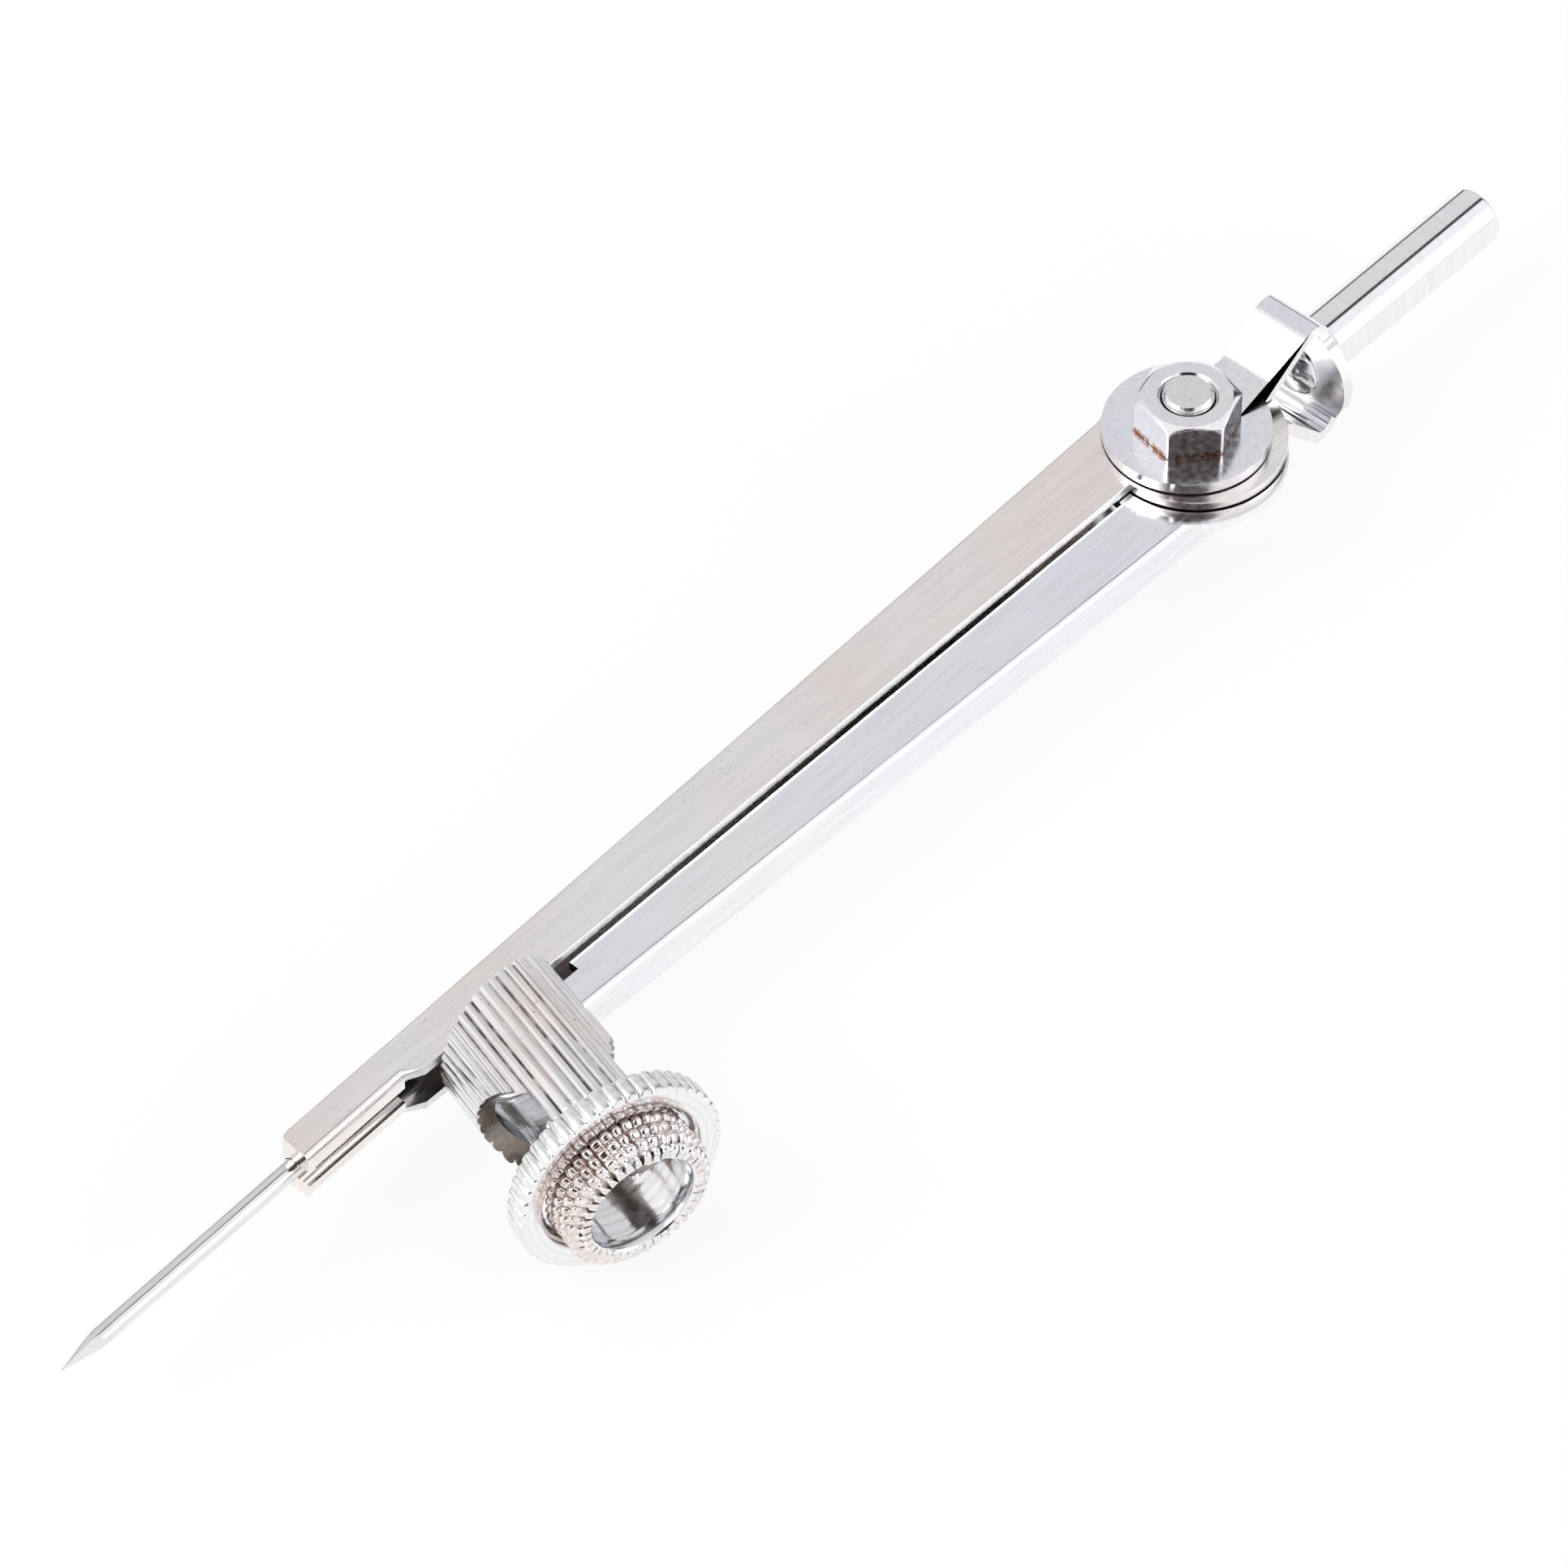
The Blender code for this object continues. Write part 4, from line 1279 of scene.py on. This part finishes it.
        far = 3 * self.mouth_radius
        trim = block(
            "barrel_end_trim",
            (-clamp.place - far, clamp.start_y, clamp.height - far),
            (-clamp.place + far, clamp.start_y + far, clamp.height + far),
        )
        bore = [(0, self.bore_floor)]
        bore += rounded(
            [(0, self.bore_floor), (self.bore_radius, self.bore_floor), (self.bore_radius, self.hole_place)],
            [0.5 * MM],
        )[1:]
        ridge = 0.45 * MM
        ridges = int((self.barrel_length - self.hole_place - self.mouth_chamfer) / ridge)
        for i in range(1, 2 * ridges):
            deep = 0.05 * MM * (i % 2) * (1 + 0.5 * uneven(i, 2.3))
            bore.append((self.bore_radius + deep, self.hole_place + i * ridge / 2))
        mouth = self.barrel_length
        bore += [
            (self.bore_radius, mouth - 0.25 * MM),
            (self.bore_radius + 0.3 * MM, mouth + 0.05 * MM),
            (self.bore_radius + 0.3 * MM, mouth + self.stack.overrun),
            (0, mouth + self.stack.overrun),
        ]
        inside = painted(lathe("barrel_bore", bore, clamp.at(0), steps=96), BORE_FINISH)
        reach = self.mouth_radius + self.stack.overrun
        start = clamp.start + clamp.axis * self.hole_place - clamp.pencil_axis * reach
        hole = lathe(
            "barrel_pencil_hole",
            [(0, 0), (self.hole_radius, 0), (self.hole_radius, 2 * reach), (0, 2 * reach)],
            frame_at(start, clamp.pencil_axis),
            steps=96,
        )
        # The cross hole's walls take the painted shade of the hole finish.
        painted(hole, HOLE_SHADE_FINISH)
        combine(barrel, "DIFFERENCE", trim, inside, hole)
        return soften(barrel, 0, sharp=42)

    def build(self) -> list[bpy.types.Object]:
        """Build and dress both pieces.

        Returns:
            The pieces.
        """
        return [
            dress(self.build_leg(), Body.PENCIL, "pencil_leg"),
            dress(self.build_barrel(), Body.PENCIL, "clamp_barrel"),
        ]


@dataclass(frozen=True)
class ClampRings:
    """Toothed ring nut, and the thin ring that it pushes against the pencil."""

    clamp: ClampFrame
    nut_place: float = 14.3 * MM
    nut_thickness: float = 2.0 * MM
    nut_radius: float = 8.1 * MM
    nut_bore: float = 5.92 * MM
    teeth: int = 46
    tooth_depth: float = 0.32 * MM
    tooth_samples: int = 10
    edge: float = 0.25 * MM
    sink_radius: float = 6.35 * MM
    sink_depth: float = 0.7 * MM
    washer_radius: float = 6.9 * MM
    washer_thickness: float = 0.5 * MM
    seat: float = 0.05 * MM

    def toothed(self, radius: float, height: float, depth: float) -> list[Triple]:
        """Ring of points with teeth round it.

        Args:
            radius: Radius over the teeth.
            height: Height of the ring.
            depth: Depth of the gaps, or zero for a plain circle.

        Returns:
            The points.
        """
        ring = []
        samples = self.teeth * self.tooth_samples
        for i in range(samples):
            place = i / self.tooth_samples
            number = math.floor(place)
            across = abs(2 * (place - number) - 1)
            gap = depth * (1 + 0.25 * uneven(number, 5.1)) * across**3
            angle = 2 * math.pi * i / samples
            ring.append(((radius - gap) * math.cos(angle), (radius - gap) * math.sin(angle), height))
        return ring

    def build_nut(self) -> bpy.types.Object:
        """Build the ring nut with its teeth, broken edges and countersink.

        Returns:
            The ring nut.
        """
        thick = self.nut_thickness
        depth = self.tooth_depth
        stations = [
            (self.nut_bore, 0.0, 0.0),
            (self.nut_radius - self.edge - depth, 0.0, 0.0),
            (self.nut_radius - self.edge, 0.0, depth * 0.6),
            (self.nut_radius - self.edge * 0.3, self.edge * 0.3, depth),
            (self.nut_radius, self.edge, depth),
            (self.nut_radius, thick - self.edge, depth),
            (self.nut_radius - self.edge * 0.3, thick - self.edge * 0.3, depth),
            (self.nut_radius - self.edge, thick, depth * 0.6),
            (self.nut_radius - self.edge - depth, thick, 0.0),
            (self.sink_radius + 0.08 * MM, thick, 0.0),
            (self.sink_radius, thick - 0.05 * MM, 0.0),
            (self.nut_bore, thick - self.sink_depth, 0.0),
        ]
        rings = [self.toothed(radius, height, gap) for radius, height, gap in stations]
        nut = loft("toothed_ring_nut", rings, self.clamp.at(self.nut_place), wrap=True)
        return soften(painted(nut, RING_NUT_FINISH), 0, sharp=30)

    def build_washer(self) -> bpy.types.Object:
        """Turn the thin ring behind the nut.

        Returns:
            The ring.
        """
        thick = self.washer_thickness
        corners = [(self.nut_bore, 0.0), (self.washer_radius, 0.0), (self.washer_radius, thick), (self.nut_bore, thick)]
        profile = rounded(corners, [0.08 * MM, 0.18 * MM, 0.18 * MM, 0.08 * MM], closed=True, steps=4)
        place = self.clamp.at(self.nut_place - self.seat - thick)
        return soften(painted(lathe("thin_pressure_ring", profile, place, wrap=True), WASHER_FINISH), 0)

    def build(self) -> list[bpy.types.Object]:
        """Build and dress both rings.

        Returns:
            The pieces.
        """
        return [
            dress(self.build_nut(), Body.NUT, "clamp_ring_nut"),
            dress(self.build_washer(), Body.FOLLOWER, "clamp_pressure_washer"),
        ]


@dataclass(frozen=True)
class YokeAndHandle:
    """Bent sheet yoke, and the round rod that is riveted into its web."""

    stack: PivotStack
    sheet: float = 0.9 * MM
    eye_radius: float = 6.25 * MM
    upper_width: float = 4.8 * MM
    lower_width: float = 7.6 * MM
    neck_reach: float = 7.1 * MM
    crest_place: float = 10.9 * MM
    crest_height: float = 6.1 * MM
    foot_depth: float = 4.4 * MM
    web_place: float = 13.2 * MM
    web_radius: float = 4.9 * MM
    web_upper_cut: float = 4.2 * MM
    web_lower_cut: float = 2.6 * MM
    web_swell: float = 0.03 * MM
    arm_overlap: float = 1.5 * MM
    neck_bend: float = 1.5 * MM
    crest_bend: float = 1.0 * MM
    web_bend: float = 1.4 * MM
    handle_z: float = 3.25 * MM
    rod_radius: float = 2.4 * MM
    rod_end: float = 33.7 * MM
    tenon_radius: float = 1.6 * MM
    tail_radius: float = 2.3 * MM
    tail_height: float = 0.7 * MM
    seat: float = 0.05 * MM
    edge_facing: float = 0.1
    edge_start_share: float = 0.8

    def arm_line(self, eye: float, crest: float, side: int) -> list[Pair]:
        """Centre line of one arm, from its eye over its crest to the web.

        Args:
            eye: Height of the eye's underside.
            crest: Distance of the crest's outer face from the rod's axis.
            side: Sign of the arm's side of the rod.

        Returns:
            The line in XZ.
        """
        half = self.sheet / 2
        web = self.web_place - half
        crest_z = self.handle_z + side * (crest - half)
        corners = [
            (0, eye + half),
            (self.neck_reach, eye + half),
            (self.crest_place, crest_z),
            (web, crest_z),
            (web, self.handle_z + side * self.arm_overlap),
        ]
        return rounded(corners, (self.neck_bend, self.crest_bend, self.web_bend), steps=14)

    def web_outline(self) -> list[Pair]:
        """Outline of the web: a round plate cut straight above and below."""
        upper = math.asin(self.web_upper_cut / self.web_radius)
        lower = math.asin(self.web_lower_cut / self.web_radius)
        right = arc((0, 0), self.web_radius, -lower, upper, 40)
        left = arc((0, 0), self.web_radius, math.pi - upper, math.pi + lower, 40)
        return right + left

    def build_yoke(self) -> bpy.types.Object:
        """Bend the yoke from its two eyes, two arms and web.

        Returns:
            The yoke.
        """
        stack = self.stack
        outline = circle((0, 0), self.eye_radius)
        yoke = plate("bent_sheet_yoke", outline, stack.upper_eye, stack.upper_eye + self.sheet)
        painted(yoke, YOKE_FINISH, SHEARED_FINISH)
        low_eye = plate("yoke_low_eye", outline, stack.lower_eye, stack.lower_eye + self.sheet)
        upper_line = self.arm_line(stack.upper_eye, self.crest_height, 1)
        lower_line = self.arm_line(stack.lower_eye, self.foot_depth, -1)
        upper = strip("yoke_upper_arm", upper_line, self.upper_width, self.sheet)
        lower = strip("yoke_lower_arm", lower_line, self.lower_width, self.sheet)
        web = plate(
            "yoke_web",
            self.web_outline(),
            -self.sheet - self.web_swell,
            self.web_swell,
            frame_at((self.web_place, 0, self.handle_z), (1, 0, 0)),
        )
        combine(yoke, "UNION", upper, web, lower, low_eye)
        past = self.sheet + stack.overrun
        hole_radius = self.tenon_radius + 0.1 * MM
        tenon_hole = lathe(
            "yoke_tenon_hole",
            [(0, -past), (hole_radius, -past), (hole_radius, past), (0, past)],
            frame_at((self.web_place, 0, self.handle_z), (1, 0, 0)),
            steps=64,
        )
        combine(yoke, "DIFFERENCE", tenon_hole, stack.hole())
        edge_start = self.eye_radius * self.edge_start_share
        paint_cut_edges(yoke, lambda middle, normal: abs(normal.y) > self.edge_facing and middle.x > edge_start)
        return soften(yoke, 0.13 * MM)

    def build_rod(self) -> bpy.types.Object:
        """Turn the rod with its rounded end, marks by the yoke, tenon and riveted tail.

        Returns:
            The rod.
        """
        tail_face = self.web_place - self.sheet - self.seat
        tail_end = tail_face - self.tail_height
        root = self.web_place + self.seat - tail_end
        length = self.rod_end - tail_end
        radius = self.rod_radius
        crown = arc((0, self.tail_radius * 0.9), self.tail_radius * 0.9, -math.pi / 2, -0.32 * math.pi, 6)
        profile = [(max(0.0, x), z) for x, z in crown]
        profile += [(self.tail_radius * 0.93, 0.42 * MM), (self.tail_radius, 0.56 * MM)]
        profile += [(self.tail_radius, self.tail_height)]
        profile += [(self.tenon_radius, self.tail_height), (self.tenon_radius, root)]
        profile += [(radius - 0.12 * MM, root), (radius, root + 0.12 * MM)]
        for place in (0.75, 1.15, 1.9):
            middle = root + place * MM
            profile += [(radius, middle - 0.1 * MM), (radius - 0.045 * MM, middle), (radius, middle + 0.1 * MM)]
        corner = arc((radius - 0.35 * MM, length - 0.35 * MM), 0.35 * MM, 0, math.pi / 2, 8)
        profile += corner + [(0, length)]
        rod = lathe("round_handle_rod", profile, frame_at((tail_end, 0, self.handle_z), (1, 0, 0)))
        return soften(painted(rod, ROD_FINISH), 0, sharp=30)

    def build(self) -> list[bpy.types.Object]:
        """Build and dress both pieces.

        Returns:
            The pieces.
        """
        return [
            dress(self.build_yoke(), Body.YOKE, "yoke"),
            dress(self.build_rod(), Body.YOKE, "handle_rod"),
        ]


@dataclass(frozen=True)
class PivotFasteners:
    """Hexagon bolt that is the pivot, and its nut on top."""

    stack: PivotStack
    flats: float = 7.0 * MM
    corner_round: float = 0.3 * MM
    chamfer: float = 0.45 * MM
    head_height: float = 2.8 * MM
    nut_height: float = 3.0 * MM
    nut_turn: float = math.radians(19.5)
    end_chamfer: float = 0.3 * MM
    bore_sink: float = 0.24 * MM

    def hexagon(self, turn: float) -> list[Pair]:
        """Hexagon with rounded corners, turned by an angle."""
        corners = circle((0, 0), self.flats / 2 / math.cos(math.pi / 6), 6)
        wheel = Matrix.Rotation(turn, 2)
        turned = [tuple(wheel @ Vector(corner)) for corner in corners]
        return rounded(turned, [self.corner_round] * 6, closed=True, steps=5)

    def crown(self, name: str, height: float, frame: Matrix) -> bpy.types.Object:
        """Turned form whose cone chamfers the corners of a hexagon.

        Args:
            name: Name of the form.
            height: Height of the hexagon.
            frame: Where the form stands.

        Returns:
            The form.
        """
        slope = math.tan(math.pi / 6)
        rim = self.flats / 2 - self.chamfer / 2
        wide = self.flats
        below = -self.stack.overrun
        return lathe(
            name,
            [(0, below), (wide, below), (wide, height - (wide - rim) * slope), (0, height + rim * slope)],
            frame,
        )

    def build_bolt(self) -> bpy.types.Object:
        """Build the bolt, head underneath, with its shank through the stack.

        Returns:
            The bolt.
        """
        head = self.head_height
        bolt = painted(plate("hexagon_pivot_bolt", self.hexagon(0), 0, head), BOLT_FINISH)
        combine(bolt, "INTERSECT", self.crown("bolt_crown", head, frame_at((0, 0, head), (0, 0, -1))))
        radius = self.stack.bolt_radius
        top = self.stack.bolt_top
        shank = lathe(
            "bolt_shank",
            [(0, head / 2), (radius, head / 2), (radius, top - self.end_chamfer - 0.2 * MM)]
            + [(radius - 0.1 * MM, top - self.end_chamfer - 0.1 * MM), (radius - 0.02 * MM, top - self.end_chamfer)]
            + [(radius - self.end_chamfer, top), (0, top)],
            steps=96,
        )
        combine(bolt, "UNION", shank)
        return soften(bolt, 0.05 * MM, sharp=28)

    def build_nut(self) -> bpy.types.Object:
        """Build the nut with its crowned top and sunk bore.

        Returns:
            The nut.
        """
        height = self.nut_height
        frame = frame_at((0, 0, self.stack.nut_seat))
        nut = painted(plate("hexagon_pivot_nut", self.hexagon(self.nut_turn), 0, height, frame), NUT_FINISH)
        combine(nut, "INTERSECT", self.crown("nut_crown", height, frame))
        past = self.stack.overrun
        radius = self.stack.hole_radius
        sink = self.bore_sink
        bore = lathe(
            "nut_bore",
            [
                (0, -past),
                (radius, -past),
                (radius, height - sink),
                (radius + sink + past, height + past),
                (0, height + past),
            ],
            frame,
            steps=96,
        )
        combine(nut, "DIFFERENCE", bore)
        return soften(nut, 0.1 * MM, sharp=24)

    def build(self) -> list[bpy.types.Object]:
        """Build and dress both pieces.

        Returns:
            The pieces.
        """
        return [
            dress(self.build_bolt(), Body.YOKE, "pivot_bolt"),
            dress(self.build_nut(), Body.YOKE, "pivot_nut"),
        ]


@dataclass(frozen=True)
class Studio:
    """Camera at the photograph's angle, pale floor, soft lamps and what the metal mirrors."""

    azimuth: float = -48.1007439
    elevation: float = 48.0637293
    target: Triple = (-44.5607 * MM, -0.5396 * MM, 4.65 * MM)
    distance: float = 650.0 * MM
    lens: float = 211.475
    floor_size: float = 4.0
    floor_white: float = 0.93
    floor_emission_share: float = 0.86
    wall_tone: Triple = (0.74, 0.74, 0.755)
    gap_tone: Triple = (0.07, 0.065, 0.07)
    dark_tone: Triple = (0.045, 0.032, 0.03)
    horizon_tone: Triple = (0.16, 0.15, 0.16)

    @property
    def to_camera(self) -> Vector:
        """Direction from the target to the camera."""
        turn, rise = math.radians(self.azimuth), math.radians(self.elevation)
        return Vector((math.sin(turn) * math.cos(rise), -math.cos(turn) * math.cos(rise), math.sin(rise)))

    def place_camera(self) -> None:
        """Put the camera at the photograph's angle."""
        lens = bpy.data.cameras.new("camera")
        lens.lens = self.lens
        lens.sensor_width = 36.0
        lens.clip_start = 0.01
        lens.clip_end = 20.0
        camera = bpy.data.objects.new("camera", lens)
        bpy.context.scene.collection.objects.link(camera)
        camera.location = Vector(self.target) + self.to_camera * self.distance
        camera.rotation_mode = "QUATERNION"
        camera.rotation_quaternion = (-self.to_camera).to_track_quat("-Z", "Y")
        bpy.context.scene.camera = camera

    def lay_floor(self, height: float) -> None:
        """Lay a pale floor that shows white and still takes the object's shadow.

        Args:
            height: Height of the floor.
        """
        half = self.floor_size / 2
        outline = [(-half, -half), (half, -half), (half, half), (-half, half)]
        floor = plate("studio_floor", outline, height - 10 * MM, height)
        material = bpy.data.materials.new("pale_floor")
        material.use_nodes = True
        bench = NodeBench(material.node_tree)
        tree = material.node_tree
        tree.nodes.remove(tree.nodes["Principled BSDF"])
        matt = bench.add("ShaderNodeBsdfDiffuse")
        white = self.floor_white
        matt.inputs["Color"].default_value = (white, white, white, 1)
        glow = bench.add("ShaderNodeEmission")
        glow.inputs["Strength"].default_value = 1.0
        path = bench.add("ShaderNodeLightPath")
        seen = bench.math("MAXIMUM", path.outputs["Is Camera Ray"], path.outputs["Is Glossy Ray"])
        seen = bench.math("MAXIMUM", seen, path.outputs["Is Transmission Ray"])
        mixed = bench.add("ShaderNodeMixShader")
        bench.feed(mixed.inputs[0], bench.math("MULTIPLY", seen, self.floor_emission_share))
        bench.feed(mixed.inputs[1], matt.outputs[0])
        bench.feed(mixed.inputs[2], glow.outputs[0])
        bench.feed(tree.nodes["Material Output"].inputs["Surface"], mixed.outputs[0])
        floor.data.materials.append(material)
        floor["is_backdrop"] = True

    def light_world(self) -> None:
        """Surround the object with a pale tent that has the dark places the metal mirrors."""
        world = bpy.data.worlds.new("studio_tent")
        bpy.context.scene.world = world
        world.use_nodes = True
        tree = world.node_tree
        bench = NodeBench(tree)
        way = bench.add("ShaderNodeTexCoord").outputs["Generated"]
        white = (1.0, 1.0, 1.0)
        parts = bench.add("ShaderNodeSeparateXYZ")
        bench.feed(parts.inputs[0], way)
        cool = bench.span(parts.outputs["X"], -0.2, 0.9)
        colour = bench.blend(cool, (1.0, 0.985, 0.97), (0.95, 0.95, 1.0))
        wall = bench.math(
            "MULTIPLY", bench.span(parts.outputs["Y"], 0.02, 0.12), bench.span(parts.outputs["X"], -0.25, 0.1)
        )
        colour = bench.blend(wall, colour, self.wall_tone)
        across = parts.outputs["Y"]
        gap = bench.math("MULTIPLY", bench.span(across, -0.1, -0.03), bench.span(across, 0.13, 0.06))
        gap = bench.math("MULTIPLY", gap, bench.span(parts.outputs["X"], 0.05, 0.3))
        colour = bench.blend(gap, colour, self.gap_tone)
        dark_zone = bench.span(bench.dot(way, tuple(self.to_camera)), 0.90, 0.955)
        colour = bench.blend(dark_zone, colour, self.dark_tone)
        height = parts.outputs["Z"]
        horizon = bench.math("MULTIPLY", bench.span(height, 0.02, 0.06), bench.span(height, 0.22, 0.14))
        side = bench.math("MULTIPLY", horizon, bench.span(bench.dot(way, (0.64, 0.77, 0)), -0.3, 0.5))
        colour = bench.blend(side, colour, self.horizon_tone)
        path = bench.add("ShaderNodeLightPath")
        colour = bench.blend(path.outputs["Is Camera Ray"], colour, white)
        bench.feed(tree.nodes["Background"].inputs["Color"], colour)
        tree.nodes["Background"].inputs["Strength"].default_value = 1.0

    def add_lamp(self, name: str, direction: Triple, distance: float, size: float, watts: float) -> None:
        """Add a soft square lamp that faces the object.

        Args:
            name: Name of the lamp.
            direction: Direction from the object to the lamp.
            distance: Distance from the object.
            size: Side of the lamp.
            watts: Power of the lamp.
        """
        light = bpy.data.lights.new(name, "AREA")
        light.shape = "SQUARE"
        light.size = size
        light.energy = watts
        lamp = bpy.data.objects.new(name, light)
        bpy.context.scene.collection.objects.link(lamp)
        way = Vector(direction).normalized()
        lamp.location = Vector(self.target) + way * distance
        lamp.rotation_mode = "QUATERNION"
        lamp.rotation_quaternion = (-way).to_track_quat("-Z", "Y")

    def build(self, floor_height: float) -> None:
        """Set up the whole studio.

        Args:
            floor_height: Height of the floor under the object.
        """
        self.place_camera()
        self.lay_floor(floor_height)
        self.light_world()
        self.add_lamp("left_soft_lamp", (-0.75, 0.35, 0.75), 0.9, 0.5, 3.0)
        self.add_lamp("right_soft_lamp", (0.6, -0.75, 0.42), 0.9, 0.45, 2.0)
        bpy.context.scene.view_settings.view_transform = "Standard"
        LOG.info("studio: camera %.1f mm lens, floor at %.5f", self.lens, floor_height)


def main() -> None:
    """Load the frame, build every piece on it and set up the studio."""
    logging.basicConfig(level=logging.INFO, format="%(message)s")
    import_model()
    packed_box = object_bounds()
    stack = PivotStack()
    folds = FoldedLeg(stack)
    clamp = ClampFrame()
    assemblies = (
        NeedleArm(stack, folds),
        PencilArm(stack, folds, clamp),
        ClampRings(clamp),
        YokeAndHandle(stack),
        PivotFasteners(stack),
    )
    for assembly in assemblies:
        pieces = assembly.build()
        LOG.info("%s: %s", type(assembly).__name__, ", ".join(piece.name for piece in pieces))
    Studio().build(packed_box[0].z)


if __name__ == "__main__":
    main()
